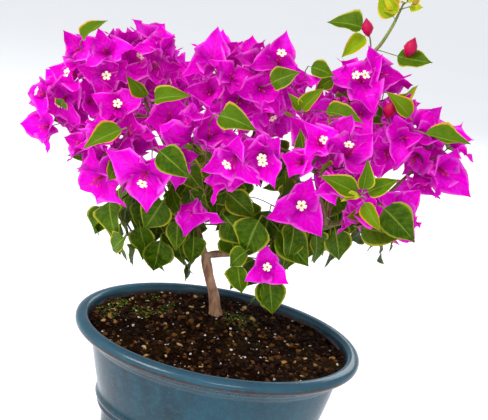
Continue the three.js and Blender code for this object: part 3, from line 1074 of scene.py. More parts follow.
# %% Set leaves
# name of the mass, shares of its box, the way the leaf points, the way its face looks, length in
# millimetres, greenness from 0, dark and old, to 1, young and yellow
SET_LEAVES = [
    ("hanging_leaves", (0.66, 0.4, 0.72), (0.25, -0.2, -0.95), (0.1, -1, 0.1), 42, 0.3),
    ("leaves_low_left", (0.75, 0.35, 0.5), (-0.05, 0.0, -1), (0.3, -0.9, 0.2), 45, 0.1),
    ("leaves_low_left", (0.52, 0.35, 0.6), (0.25, 0.0, -0.95), (0.1, -0.9, 0.3), 38, 0.3),
    ("leaves_low_left", (0.16, 0.39, 0.7), (-0.35, 0.0, -0.95), (-0.3, -0.9, 0.2), 38, 0.25),
    ("leaves_low_left", (0.8, 0.12, 1.0), (-0.4, -0.15, -0.9), (0.2, -0.95, 0.2), 42, 0.3),
    ("leaves_low_left", (0.92, 0.2, 0.8), (0.1, -0.1, -0.95), (0.1, -0.95, 0.2), 34, 0.25),
    ("leaves_middle", (0.54, 0.25, 0.09), (0.12, 0.0, -0.95), (0.5, -0.8, 0.2), 35, 0.15),
    ("leaves_middle", (0.83, 0.08, 0.67), (0.85, -0.1, -0.5), (-0.2, -0.9, 0.5), 38, 0.3),
    ("leaves_middle", (0.84, 0.08, 0.42), (0.8, -0.1, -0.65), (-0.1, -0.95, 0.3), 42, 0.25),
    ("leaves_low_right", (0.45, 0.18, 0.67), (0.75, -0.1, -0.6), (0.1, -0.9, 0.5), 50, 0.2),
    ("leaves_low_right", (0.26, 0.08, 0.39), (-0.7, -0.1, -0.7), (-0.3, -0.9, 0.3), 29, 0.35),
    ("leaves_low_right", (0.32, 0.08, 0.79), (-0.3, -0.1, -0.95), (-0.2, -0.95, 0.2), 48, 0.3),
    ("leaves_right", (0.34, 0.05, 0.59), (0.35, -0.1, -0.9), (0.2, -0.95, 0.2), 37, 0.3),
    ("leaves_right", (0.16, 0.05, 0.54), (-0.05, -0.1, -0.95), (0, -0.95, 0.3), 35, 0.2),
    ("bloom_front_right", (0.84, 0.16, 0.24), (0.7, -0.35, -0.7), (-0.4, -1, 0.3), 31, 0.62),
    ("bloom_front_right", (0.82, 0.16, 0.27), (-0.92, -0.2, 0.38), (0, -0.9, 0.5), 36, 0.52),
    ("bloom_front_right", (0.84, 0.16, 0.3), (0.85, -0.25, 0.6), (0, -1, 0.4), 34, 0.52),
    ("bloom_front_right", (0.82, 0.16, 0.3), (0.05, -0.25, 0.95), (0.3, -1, 0.3), 28, 0.52),
    ("bloom_front_right", (0.83, 0.14, 0.27), (-0.8, -0.5, -0.1), (0, -0.6, 1), 18, 0.95),
    ("bloom_low_right", (0.5, 0.3, 0.62), (0.8, -0.3, -0.45), (0.2, -1, 0.4), 42, 0.25),
    ("bloom_low_right", (0.35, 0.45, 0.2), (0.95, -0.1, 0.0), (0.1, -0.9, 0.5), 46, 0.4),
    ("bloom_far_right", (0.25, 0.2, 0.72), (0.98, -0.1, -0.15), (0.1, -0.7, 0.8), 44, 0.52),
    ("bloom_far_right", (0.2, 0.25, 0.83), (-0.7, -0.1, 0.65), (0.3, -0.9, 0.4), 34, 0.6),
    ("bloom_top_left", (0.78, 0.0, 0.33), (-0.6, -0.3, 0.65), (-0.3, -1, 0.2), 32, 0.55),
    ("bloom_top_left", (0.8, 0.0, 0.31), (0.85, -0.3, 0.4), (0.1, -0.8, 0.6), 38, 0.55),
    ("bloom_low_left", (0.72, 0.16, 0.84), (-0.8, -0.5, -0.4), (0, -0.8, 0.6), 40, 0.55),
    ("bloom_low_left", (0.99, 0.2, 0.68), (0.85, -0.2, -0.45), (0, -0.9, 0.4), 36, 0.3),
    ("bloom_top_left", (0.18, 0.3, 0.64), (0.6, -0.2, 0.75), (-0.5, -0.8, 0.3), 33, 0.52),
    ("bloom_top_right", (0.04, -0.1, 0.4), (0.45, -0.2, 0.8), (-0.3, -0.9, 0.3), 30, 0.6),
    ("bloom_top_right", (0.04, -0.1, 0.4), (-0.35, -0.2, 0.55), (0.5, -0.9, 0.3), 20, 0.6),
    ("bloom_top_right", (0.2, -0.12, 0.45), (0.95, -0.2, 0.1), (0, -0.6, 0.85), 38, 0.52),
    ("bloom_top_right", (0.02, 0.15, 0.78), (0.9, -0.1, -0.05), (0.0, -0.9, 0.5), 24, 0.45),
    ("bloom_top_right", (0.25, 0.15, 0.74), (-0.5, -0.1, -0.4), (0.1, -0.9, 0.4), 20, 0.5),
    ("bloom_top", (0.74, 0.08, 0.62), (0.6, -0.3, 0.5), (0, -0.9, 0.5), 30, 0.4),
    ("bloom_front", (0.5, 0.3, 0.8), (0.9, -0.4, 0.1), (0, -0.8, 0.6), 34, 0.45),
]
print("leaves set by hand:", len(SET_LEAVES))

# %% Windows
# Clear ways through the crown: X and Z of a place, and a radius, in millimetres. Each runs
# straight back from there.
WINDOWS = [
    ((19, 267), 14), ((-16, 288), 8), ((61, 303), 4), ((-22, 228), 9),
    ((-14, 192), 14), ((-14, 160), 20), ((-66, 331), 6), ((-18, 351), 5),
    ((36, 378), 5), ((150, 326), 6), ((145, 307), 4), ((118, 382), 9),
    ((-187, 275), 11),
]
WINDOW_PLANE = 0.03  # the places lie in the plane of the trunk
SIGHT = unit(np.array([-0.1139, 0.9446, -0.3078]))


def in_window(point, room=0.0):
    """Whether a place lies in one of the clear ways."""
    for (x, z), radius in WINDOWS:
        ray = point - np.array([x * MM, WINDOW_PLANE, z * MM])
        if np.linalg.norm(ray - np.dot(ray, SIGHT) * SIGHT) < radius * MM + room:
            return True
    return False


print("windows:", len(WINDOWS))

# %% In or out of a mass
DEEPEST = 0.08  # no place in a mass is deeper; a greater depth is read off a far-away face
solids = {name: search_tree(*solid_mesh(name)) for name in masses}


def depth_in(tree, point):
    """How far a place lies inside a solid; below none if it is outside."""
    nearest, normal, _, gap = tree.find_nearest(Vector(point))
    return gap if (Vector(point) - nearest).dot(normal) < 0 else -gap


def buried(point, own):
    """Whether a place lies inside a mass other than its own."""
    return any(
        0 < depth_in(tree, point) < DEEPEST for name, tree in solids.items() if name != own
    )


def near_any(place, others, room):
    """Whether a place is nearer than a given room to any of some others."""
    return any(np.linalg.norm(place - other) < room for other in others)


# %% Places with room
OUTSIDE = 5  # millimetres outside a mass's skin, where no other mass may be
WINDOW_ROOM = 0.35  # share of a spray's room that it keeps from a window
SETTLING = 4  # how often a spray may be moved inwards


def throw_points(name, spacing, inset, taken, tries=900):
    """Well-spaced places just under a mass's skin, each with the way out."""
    points, faces = solid_mesh(name)
    corners = points[np.array(faces)]
    normals = np.cross(corners[:, 1] - corners[:, 0], corners[:, 2] - corners[:, 0])
    areas = np.linalg.norm(normals, axis=1)
    chosen = draw.choice(len(faces), tries, p=areas / areas.sum())
    weights = draw.dirichlet((1, 1, 1), tries)
    middle = points.mean(0)
    kept = []
    for face, weight in zip(chosen, weights):
        skin = weight @ corners[face]
        outward = unit(unit(normals[face]) + unit(skin - middle))
        place = skin - outward * inset
        if near_any(place, taken, spacing):
            continue
        if buried(skin + outward * OUTSIDE * MM, name) or in_window(skin, spacing * WINDOW_ROOM):
            continue
        taken.append(place)
        kept.append((place, outward))
    return kept


def outside_by(point):
    """How far a place lies outside the crown; none if it is in any mass."""
    return max(0.0, -max(depth_in(tree, point) for tree in solids.values()))


def settle(place, reaches, outward, allowance):
    """Moves a spray inwards until its tips keep to the crown's outline."""
    for _ in range(SETTLING):
        over = max(outside_by(place + reach) for reach in reaches) - allowance
        if over <= 0:
            break
        place = place - outward * (over + 1 * MM)
    return place


# %% The places of the clusters
clusters, leaf_sprays, set_leaves = [], [], []
taken_by_clusters = []
for name, shares, facing, length, opening, spin, flowers in SET_CLUSTERS:
    place = within(name, *shares)
    taken_by_clusters.append(place)
    clusters.append((place, unit(np.array(facing)), length * MM, opening, spin, flowers, 0.5, None))

SPRAY_ROOM, CLUSTER_DEPTH = 20 * MM, 25 * MM
OVERHANG = 4 * MM  # how far a spray's tips may pass the crown's outline
BRACT_LENGTHS, OPENINGS = (24, 35), (34, 68)  # millimetres, degrees
FLOWERS_OPEN = (0.66, 0.26, 0.08)  # how often a cluster has none, one or two
for name in blooms:
    for place, outward in throw_points(name, SPRAY_ROOM, CLUSTER_DEPTH, taken_by_clusters):
        facing = unit(outward + 0.2 * UP + draw.normal(0, 0.25, 3))
        length = draw.uniform(*BRACT_LENGTHS) * MM
        flowers = int(draw.choice([0, 1, 2], p=FLOWERS_OPEN))
        opening, spin, tint = draw.uniform(*OPENINGS), draw.uniform(0, 360), draw.uniform(0, 1)
        clusters.append((place, facing, length, opening, spin, flowers, tint, OVERHANG))
print("clusters:", len(clusters))

# %% The places of the leaves below the blossom
for name, shares, points_to, looks, length, young in SET_LEAVES:
    ways = unit(np.array(points_to)), unit(np.array(looks))
    set_leaves.append((within(name, *shares), *ways, length * MM, young))
LEAF_LAYERS = ((20 * MM, 5 * MM), (22 * MM, 20 * MM))  # room between sprays, depth below the skin
for name in leafy + ["hanging_leaves"]:
    low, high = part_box(name)
    for layer, (spacing, inset) in enumerate(LEAF_LAYERS):
        taken = [leaf[0] for leaf in set_leaves] if layer == 0 else []
        for place, outward in throw_points(name, spacing, inset, taken):
            if near_any(place, taken_by_clusters, SPRAY_ROOM):
                continue
            height = (place[2] - low.z) / (high.z - low.z)
            age = 0.12 + 0.3 * height + draw.normal(0, 0.08) - 0.1 * layer
            leaf_sprays.append((place, outward, min(max(age, 0.0), 0.7)))
print("leaf sprays:", len(leaf_sprays), "and set leaves:", len(set_leaves))

# %% [markdown]
# ## Leaves, bracts and flowers
#
# One function makes every blade, green or pink. It is a small grid whose width follows
# `v^base * (1 - v)^tip`, the outline of most leaves: a low `base` makes a round shoulder and a
# high `tip` draws the point out. The grid is then folded on its midrib, cupped, curled back at the
# tip and waved along its edges. A few different blades, turned and sized at random, are enough.

# %% A blade
CROWDING = 0.45  # how much the rows crowd at a blade's two ends
RIPPLES, EDGES_APART = 1.7, 2.1  # waves along an edge, and the angle between its two edges' waves
STALK_FOOT, STALK_TOP = 0.016, 0.013  # radii, as shares of a leaf's length


def blade(width, rows, columns, base, tip, fold, cup, curl, wave, phase, stalk=0.0):
    """A leaf or bract one unit long on +Y, face up: its points, UVs and faces."""
    peak = base / (base + tip)
    widest = peak**base * (1 - peak) ** tip
    t = np.linspace(0, 1, rows + 2)[1:-1]
    v = (1 - CROWDING) * t + CROWDING * (1 - np.cos(np.pi * t)) / 2
    v, s = np.meshgrid(v, np.linspace(-1, 1, columns + 1), indexing="ij")
    v, s = v.ravel(), s.ravel()
    half = width / 2 * v**base * (1 - v) ** tip / widest
    x = s * half
    ripple = np.sin(2 * np.pi * RIPPLES * v + phase + np.where(s > 0, EDGES_APART, 0.0))
    z = fold * abs(x) + cup * x**2 - curl * v**2 + wave * s**2 * half * ripple
    y = stalk + (1 - stalk) * v
    points = [[0, stalk, 0], *np.stack([x, y, z], 1).tolist(), [0, 1, -curl]]
    uv = [[0.5, 0], *np.stack([0.5 + s / 2, v], 1).tolist(), [0.5, 1]]
    wide, last = columns + 1, rows * (columns + 1)
    faces = [(0, j + 2, j + 1) for j in range(columns)]
    for i in range(rows - 1):
        for j in range(columns):
            a = 1 + i * wide + j
            faces.append((a, a + 1, a + wide + 1, a + wide))
    faces += [(last - wide + 1 + j, last - wide + 2 + j, last + 1) for j in range(columns)]
    if stalk:
        first = len(points)
        for y_at, thick in ((0.0, STALK_FOOT), (stalk * 1.15, STALK_TOP)):
            for angle in (0.5, 2.6, 4.7):  # a stalk is three-sided
                points.append([thick * math.cos(angle), y_at, thick * math.sin(angle) - 0.004])
                uv.append([0.5, 0.5])
        for j in range(3):
            k = (j + 1) % 3
            faces.append((first + j, first + k, first + 3 + k, first + 3 + j))
    return np.array(points), np.array(uv), faces


# %% Leaf and bract shapes
LEAF_GRID, BRACT_GRID = (9, 4), (8, 6)
# width against length, rows and columns, base, tip, fold, cup, curl, wave, phase, and for a leaf
# the share of its length that is stalk
LEAF_SHAPES = [
    blade(0.72, *LEAF_GRID, 0.62, 1.3, 0.2, 0.3, 0.2, 0.16, 0.4, 0.12),
    blade(0.76, *LEAF_GRID, 0.64, 1.36, 0.1, 0.5, 0.34, 0.22, 2.2, 0.11),
    blade(0.66, *LEAF_GRID, 0.6, 1.26, 0.42, 0.1, 0.12, 0.18, 4.0, 0.13),
    blade(0.7, *LEAF_GRID, 0.68, 1.34, 0.04, 0.9, 0.46, 0.24, 5.3, 0.12),
    blade(0.64, *LEAF_GRID, 0.62, 1.3, 0.28, -0.5, -0.12, 0.2, 1.3, 0.14),
    blade(0.7, *LEAF_GRID, 0.6, 1.28, 0.34, 0.5, 0.3, 0.14, 3.1, 0.12),
    blade(0.5, *LEAF_GRID, 0.62, 1.3, 0.7, 0.3, 0.24, 0.2, 0.9, 0.12),
    blade(0.46, *LEAF_GRID, 0.6, 1.25, 0.9, 0.0, -0.16, 0.24, 3.7, 0.12),
]
BRACT_SHAPES = [
    blade(0.96, *BRACT_GRID, 0.46, 1.3, 0.12, 0.5, 0.24, 0.5, 0.3),
    blade(0.9, *BRACT_GRID, 0.48, 1.4, 0.28, 0.2, 0.06, 0.56, 1.9),
    blade(1.0, *BRACT_GRID, 0.44, 1.26, 0.0, 0.8, 0.4, 0.52, 3.4),
    blade(0.92, *BRACT_GRID, 0.48, 1.34, 0.42, 0.0, -0.04, 0.52, 4.6),
    blade(0.88, *BRACT_GRID, 0.46, 1.36, 0.16, 0.5, -0.18, 0.6, 5.5),
    blade(0.95, *BRACT_GRID, 0.46, 1.28, -0.12, 1.0, 0.32, 0.46, 2.7),
    blade(0.84, *BRACT_GRID, 0.46, 1.38, 0.56, -0.3, 0.2, 0.5, 0.9),
]
print("faces of a leaf:", len(LEAF_SHAPES[0][2]), "of a bract:", len(BRACT_SHAPES[0][2]))


# %% [markdown]
# The true flower is a slim tube with five ridges, swollen at the foot, that opens in a small cream
# star. A bud is the same thing, still closed and fat. Turned shapes with six or seven sides are
# enough for things a few millimetres wide, and a star of twenty points has its five lobes.

# %% Flowers and buds
def turned_shape(rings, sides):
    """A small closed turned shape on +Y from (radius, height) rings; UV V runs 0 to 1 along it."""
    angles = np.linspace(0, 2 * np.pi, sides, endpoint=False)
    points, uv = [], []
    for number, (radius, height) in enumerate(rings):
        for angle in angles:
            points.append([radius * math.cos(angle), height, radius * math.sin(angle)])
            uv.append([angle / (2 * np.pi), number / (len(rings) - 1)])
    faces = []
    top = (len(rings) - 1) * sides
    for low in range(0, top, sides):
        for j in range(sides):
            k = (j + 1) % sides
            faces.append((low + j, low + sides + j, low + sides + k, low + k))
    faces.append(tuple(range(sides)))
    faces.append(tuple(top + j for j in range(sides - 1, -1, -1)))
    return np.array(points), np.array(uv), faces


def star_shape():
    """The open end of a flower: five broad lobes round a sunken eye, facing +Y."""
    points, uv, faces = [[0, -0.1, 0]], [[0, 0]], []
    # (degrees, radius, height) of the four points that draw one lobe
    lobe = ((-36, 0.55, 0.06), (-21, 0.94, 0.12), (0, 1.0, 0.1), (21, 0.94, 0.12))
    eye = 0.24
    for ring in (0, 1):
        for number in range(20):
            offset, radius, height = lobe[number % 4]
            angle = math.radians(72 * (number // 4) + offset)
            radius = radius if ring else eye
            points.append([radius * math.cos(angle), height * ring, radius * math.sin(angle)])
            uv.append([0, 1.0 if ring else 0.4])
    for j in range(20):
        k = (j + 1) % 20
        faces.append((0, 1 + k, 1 + j))
        faces.append((1 + j, 1 + k, 21 + k, 21 + j))
    return np.array(points), np.array(uv), faces


TUBE_SHAPES = [
    turned_shape([(0.05, 0), (0.075, 0.25), (0.06, 0.6), (0.075, 1.0)], 6),
    turned_shape([(0.05, 0), (0.08, 0.22), (0.055, 0.6), (0.075, 0.85), (0.02, 1.0)], 6),
]
STAR_SHAPES = [star_shape()]
CLOSED_TUBE = 1
BUD_SHAPES = [
    turned_shape([(0.05, 0), (0.22, 0.18), (0.34, 0.42), (0.27, 0.66), (0.1, 0.88), (0.01, 1.0)], 7)
]
print("faces of a flower:", len(TUBE_SHAPES[0][2]) + len(STAR_SHAPES[0][2]))


# %% [markdown]
# The crown needs hundreds of leaves and bracts. A separate object for each would be slow, and each
# would have to be handed in, so the copies are written with arrays straight into one growing mesh,
# and every copy carries its own number for the colour.

# %% Piling up copies
class Pile:
    """Copies of a few small shapes, joined into one mesh as they are added."""

    def __init__(self, shapes):
        self.shapes = shapes
        self.points, self.uv, self.faces, self.tint = [], [], [], []
        self.count = 0

    def placed(self, which, origin, points_to, looks, scale):
        """The points of a copy with its length along points_to and its face towards looks."""
        length = unit(np.asarray(points_to, float))
        face = np.asarray(looks, float)
        face = unit(face - np.dot(face, length) * length)
        axes = np.stack([np.cross(length, face), length, face])
        points = self.shapes[which % len(self.shapes)][0]
        return np.asarray(origin) + (points * np.asarray(scale)) @ axes

    def add(self, which, origin, points_to, looks, scale, tint):
        """Adds a copy to the pile."""
        points = self.placed(which, origin, points_to, looks, scale)
        _, uv, faces = self.shapes[which % len(self.shapes)]
        self.points.append(points)
        self.uv.append(uv)
        self.faces += [tuple(i + self.count for i in f) for f in faces]
        self.tint.append(np.full(len(points), tint))
        self.count += len(points)

    def finish(self, name, material, slot, *nodes):
        """Ends the pile as one piece of the plant."""
        points, uv, tint = (np.concatenate(part) for part in (self.points, self.uv, self.tint))
        keep_piece(plain_piece(name, points, self.faces, material, uv, tint), slot, *nodes)


leaves, bracts = Pile(LEAF_SHAPES), Pile(BRACT_SHAPES)
tubes, stars, buds = Pile(TUBE_SHAPES), Pile(STAR_SHAPES), Pile(BUD_SHAPES)

# %% [markdown]
# ## Building the sprays
#
# A bougainvillea's colour is not its petals. Three papery bracts stand round three thin tubular
# flowers, each bract carrying one, and only a flower at a time opens its small cream star. So a
# cluster is built about its axis: three blades at a third of a turn from each other, leaning out
# by the same angle, with three tubes between them. Leaves hang below, more of them where the
# masses are green.

# %% Ways round an axis
UPRIGHT = 0.15  # an axis is upright if less than this of UP is square to it


def square_to(axis):
    """A direction square to an axis, made with any other direction."""
    return unit(np.cross(axis, (0.31, 0.22, 0.92) if abs(axis[2]) < 0.9 else (1, 0, 0)))


def spoke(axis, degrees):
    """The direction square to an axis at an angle round it, with 90 degrees uppermost."""
    upward = UP - np.dot(UP, axis) * axis
    upward = unit(upward) if np.linalg.norm(upward) > UPRIGHT else square_to(axis)
    sideways = np.cross(upward, axis)
    angle = math.radians(degrees)
    return math.cos(angle) * sideways + math.sin(angle) * upward


# %% A cluster
SWAY = 9  # degrees that a bract turns and leans out of its true place
BRACT_SIZES = (0.88, 1.12)
BRACT_FOOT = 0.6  # millimetres from the axis
TONE_SWAY = 0.12
FLOWER_LEANS = (14, 4)  # degrees, as the mean and how much it varies
FLOWER_LENGTHS = (0.34, 0.48)  # shares of a bract's
FLOWER_GIRTH = 0.8
STAR_SIZES, STAR_LIFT = (4.1, 4.9), 0.14  # millimetres from its middle, share of that


def add_cluster(place, facing, length, opening, spin, flowers, tint, allowance):
    """Three bracts and three flowers about an axis; returns where it came to sit."""
    ways = []
    for number in range(3):
        outward = spoke(facing, spin + 120 * number + draw.normal(0, SWAY))
        lean = math.radians(opening + draw.normal(0, SWAY))
        points_to = math.cos(lean) * facing + math.sin(lean) * outward
        looks = math.sin(lean) * facing - math.cos(lean) * outward
        ways.append((outward, points_to, looks, length * draw.uniform(*BRACT_SIZES)))
    if allowance is not None:
        place = settle(place, [way[1] * way[3] for way in ways], facing, allowance)
    for number, (outward, points_to, looks, size) in enumerate(ways):
        tone = min(max(tint + draw.normal(0, TONE_SWAY), 0), 1)
        shape, bract_foot = int(draw.integers(7)), place + outward * BRACT_FOOT * MM
        bracts.add(shape, bract_foot, points_to, looks, size, tone)
        stem_lean = math.radians(FLOWER_LEANS[0] + draw.normal(0, FLOWER_LEANS[1]))
        flower_to = unit(math.cos(stem_lean) * facing + math.sin(stem_lean) * outward)
        tall = length * draw.uniform(*FLOWER_LENGTHS)
        opened = number < flowers
        girth = tall * FLOWER_GIRTH
        kind = 0 if opened else CLOSED_TUBE
        tubes.add(kind, place, flower_to, looks, (girth, tall, girth), tone)
        if opened:
            wide = draw.uniform(*STAR_SIZES) * MM
            mouth = place + flower_to * (tall + STAR_LIFT * wide)
            stars.add(0, mouth, flower_to, looks, wide, tone)
    return place


for cluster in clusters:
    place, facing = add_cluster(*cluster), cluster[1]
    grow_to(place - facing * STALK, facing)
    closed += grow_to(place, facing)[1:]
print("bracts:", len(bracts.points), "open flowers:", len(stars.points))

# %% A leaf
bract_tree = search_tree(np.concatenate(bracts.points), bracts.faces)


def cuts_bracts(shape, place, points_to, looks, size):
    """Whether a leaf would cut through a bract."""
    points = leaves.placed(shape, place, points_to, looks, size)
    return bool(search_tree(points, LEAF_SHAPES[shape][2]).overlap(bract_tree))


def hang_leaf(shape, place, points_to, looks, size, young, step, tries):
    """Adds a leaf with its twig, moved by steps until it cuts through no bract."""
    for _ in range(tries):
        if not cuts_bracts(shape, place, points_to, looks, size):
            grow_to(place, points_to)
            leaves.add(shape, place, points_to, looks, size, young)
            return True
        place = place + step
    return False


# %% Leaves among the bracts
FOLDED = 6  # the first of the shapes of young leaves, which are folded on the midrib
LONE_LENGTHS, SPRAY_LENGTHS = (22, 36), (30, 43)  # millimetres
lone_leaves = 0
for middle, facing, *_ in clusters[len(SET_CLUSTERS) :]:
    for _ in range(3):
        outward = spoke(facing, draw.uniform(0, 360))
        below = middle - facing * draw.uniform(2, 12) * MM
        points_to = unit(outward + draw.uniform(0.1, 0.9) * facing + (0, 0, -0.15))
        size = draw.uniform(*LONE_LENGTHS) * MM
        below = settle(below, [points_to * size], facing, OVERHANG)
        looks = unit(facing - 0.4 * outward + 0.5 * UP)
        shape, young = int(draw.integers(8)), draw.uniform(0.35, 0.85)
        forwards = facing * 4 * MM
        if hang_leaf(shape, below, points_to, looks, size, young, step=forwards, tries=2):
            lone_leaves += 1
            break
print("leaves among the bracts:", lone_leaves)

# %% Leaves below and behind
for middle, outward, young in leaf_sprays:
    away = unit(np.array([middle[0] - fork[0], middle[1] - fork[1], 0.0]))
    aside = draw.normal(0, 0.5) * np.array([-away[1], away[0], 0.0])
    points_to = unit(0.25 * outward + aside - draw.uniform(0.5, 1.1) * UP)
    looks = unit(0.7 * outward + 0.7 * away + 0.3 * UP + draw.normal(0, 0.22, 3))
    size = draw.uniform(*SPRAY_LENGTHS) * MM
    place = middle - points_to * size * 0.5
    place = settle(place, [points_to * size], away, allowance=2 * MM)
    if in_window(place + points_to * size * 0.5, room=4 * MM):
        continue
    inwards = -(away + 0.4 * UP) * 5 * MM
    shape = int(draw.integers(FOLDED))
    hang_leaf(shape, place, points_to, looks, size, young, step=inwards, tries=4)

for place, points_to, looks, length, young in set_leaves:
    shape = int(draw.integers(FOLDED, 8)) if young > 0.5 else int(draw.integers(FOLDED))
    forwards = -SIGHT * 3 * MM
    if not hang_leaf(shape, place, points_to, looks, length, young, step=forwards, tries=9):
        grow_to(place, points_to)
        leaves.add(shape, place, points_to, looks, length, young)
print("leaves:", len(leaves.points))

# %% [markdown]
# The young shoot on the right stands clear of the crown, so each of its leaves and buds is placed
# on it one by one: two leaves and a bud on its left, a bud and a leaf on its right, and a tuft of
# small unfolding leaves at its tip.

# %% The young shoot
tip = within("shoot_tip_leaves", 0.52, 0.47, 0.34)
shoot_chains = len(twigs)
first_joint = len(joints)
shoot_path, shoot_radii = smooth_path(
    np.concatenate([stem_line, [(stem_line[-1] + tip) / 2, tip]]),
    np.concatenate([stem_radii, [0.9 * MM, 0.6 * MM]]),
    5 * MM,
)
STOUTER = 1.35
lay_limb(shoot_path, shoot_radii * STOUTER, stem_foot)
shoot_joints = list(range(first_joint, len(joints)))
print("the shoot's bare stem is", round((tip[2] - stem_line[0][2]) / MM), "mm tall")

# %% The shoot's leaves
# in the same order as the set leaves above
SHOOT_LEAVES = [
    ("shoot_left_leaves", (0.76, 0.5, 0.66), (-0.97, -0.1, 0.2), (-0.1, -0.7, 0.7), 36, 0.4),
    ("shoot_left_leaves", (0.8, 0.45, 0.58), (-0.55, -0.3, -0.75), (-0.1, -1, 0.3), 34, 0.8),
    ("shoot_right_leaves", (0.0, 0.5, 0.5), (0.98, -0.15, -0.1), (0.1, -0.7, 0.7), 38, 0.4),
    ("shoot_tip_leaves", (0.42, 0.4, 0.04), (-0.6, -0.1, 0.65), (-0.3, -1, 0.2), 28, 0.8),
    ("shoot_tip_leaves", (0.45, 0.4, 0.25), (-0.75, -0.2, 0.5), (-0.3, -1, 0.2), 20, 0.95),
    ("shoot_tip_leaves", (0.5, 0.4, 0.2), (-0.9, -0.2, 0.0), (-0.1, -1, 0.5), 18, 0.9),
    ("shoot_tip_leaves", (0.6, 0.4, 0.4), (0.7, -0.1, 0.6), (0.2, -1, 0.1), 17, 0.95),
    ("shoot_tip_leaves", (0.55, 0.4, 0.55), (0.1, 0.0, 1.0), (0, -1, 0.1), 20, 0.95),
    ("shoot_tip_leaves", (0.5, 0.4, 0.5), (-0.5, 0.2, 0.8), (-0.4, -1, 0), 16, 1.0),
    ("shoot_tip_leaves", (0.62, 0.4, 0.3), (0.9, -0.3, 0.1), (0.1, -1, 0.5), 15, 0.9),
    ("shoot_tip_leaves", (0.5, 0.5, 0.35), (0.4, -0.8, 0.3), (0, -0.4, 1), 14, 1.0),
]
for name, shares, points_to, looks, length, young in SHOOT_LEAVES:
    place = within(name, *shares)
    grow_to(place, unit(np.array(points_to)), step=4 * MM)
    leaves.add(int(draw.integers(8)), place, points_to, looks, length * MM, young)
print("leaves with the shoot's:", len(leaves.points))

# %% The shoot's buds
# name of the mass, shares of its box, the way the bud points, length in millimetres, and its
# colour from 0, green, to 1, red
SHOOT_BUDS = [
    ("bloom_far_right", (-0.06, 0.3, 0.8), (0.15, -0.3, 0.95), 18, 1.0),
    ("shoot_left_leaves", (0.82, 0.5, 0.5), (-0.3, -0.1, 0.95), 17, 1.0),
    ("shoot_right_leaves", (0.36, 0.4, 0.5), (0.2, -0.1, 0.95), 19, 1.0),
    ("shoot_tip_leaves", (0.72, 0.4, 0.35), (0.6, 0, 0.8), 9, 0.35),
    ("shoot_tip_leaves", (0.42, 0.5, 0.6), (-0.3, 0, 0.95), 8, 0.0),
]
for name, shares, points_to, length, tone in SHOOT_BUDS:
    place = within(name, *shares)
    grow_to(place, unit(np.array(points_to)), step=4 * MM)
    buds.add(0, place, points_to, (0.2, -1, 0.1), length * MM, tone)
print("buds:", len(buds.points))

# %% [markdown]
# ## Wood for the twigs
#
# Every joint now knows its parent, so the load of a twig is counted from the tips back. A twig's
# radius grows with a power of that load and never passes the wood that it springs from. Each chain
# of joints becomes one thin five-sided tube.

# %% Loads and thicknesses
load = np.zeros(len(joints))
is_parent = np.zeros(len(joints), bool)
for parent in parents:
    if parent >= 0:
        is_parent[parent] = True
load[~is_parent] = 1
for joint in range(len(joints) - 1, 0, -1):
    if parents[joint] >= 0:
        load[parents[joint]] += load[joint]
TWIG_TIP = 0.5 * MM
THICKENING = 0.4
TOO_CLOSE = 0.3 * MM  # joints nearer than this are taken as one
wood_radius = np.maximum(TWIG_TIP * load**THICKENING, least)
for joint, parent in enumerate(parents):
    if parent >= 0 and not least[joint]:
        wood_radius[joint] = min(wood_radius[joint], wood_radius[parent])
print("the trunk bears", int(load[0]), "tips of twigs")


# %% Twig tubes
TWIG_SIDES = 5
TWIG_COLLAR = 1.15  # the most that a twig's foot may be thicker than its next joint


def twig_tubes(chains):
    """Tubes along some chains of joints, joined."""
    parts = []
    for chain in chains:
        path = np.array([joints[j] for j in chain])
        apart = np.concatenate([[True], np.linalg.norm(np.diff(path, axis=0), axis=1) > TOO_CLOSE])
        if apart.sum() < 2:
            continue
        radii = wood_radius[np.array(chain)[apart]]
        radii[0] = min(radii[0], radii[1] * TWIG_COLLAR)
        parts.append(tube(path[apart], radii, TWIG_SIDES))
    return join_parts(parts)


# %% [markdown]
# The twigs of a bougainvillea are brown with a green cast, and only the newest wood is green with
# rusty patches. They are too thin for a relief of their own, so two finishes with noise drawn out
# along Z are enough for them.

# %% Twig bark
twig_bark, start, place, shader = new_finish("twig_bark", Roughness=0.8)
ribs = cloud(place, 500, 4, 0.6, (1, 1, 0.4))
patches = cloud(place, 60, 3)
tone = coats("4a3a22", (ribs.rise(0.3, 0.7), "8b6a48"), (patches.rise(0.4, 0.65) * 0.6, "6d7036"))
wire_up(shader, Base_Color=tone, Normal=raised(ribs, 0.0005, 0.7))
count_nodes(twig_bark)
keep_piece(plain_piece("twigs", *twig_tubes(twigs[:shoot_chains]), twig_bark), "bark")

# %% Green wood
green_bark, start, place, shader = new_finish("green_stem", Roughness=0.6)
ribs = cloud(place, 300, 4, 0.6, (1, 1, 0.3))
rusty = cloud(place, 90, 3).rise(0.5, 0.7) * 0.5
tone = coats("5f7030", (ribs.rise(0.35, 0.65), "93a04c"), (rusty, "8c6a3e"))
wire_up(shader, Base_Color=tone, Normal=raised(ribs, 0.0004, 0.5))
count_nodes(green_bark)
shoot_mesh = twig_tubes(twigs[shoot_chains:] + [shoot_joints])
keep_piece(plain_piece("young_shoot", *shoot_mesh, green_bark), "green_stem", "shoot_stem")

# %% [markdown]
# The plant carries straight thorns where old leaves were. They follow the twigs, so a tree sets
# them: it spaces points along the twigs' lines, stands a slim cone on each, square to the twig and
# turned at random, and makes them real.

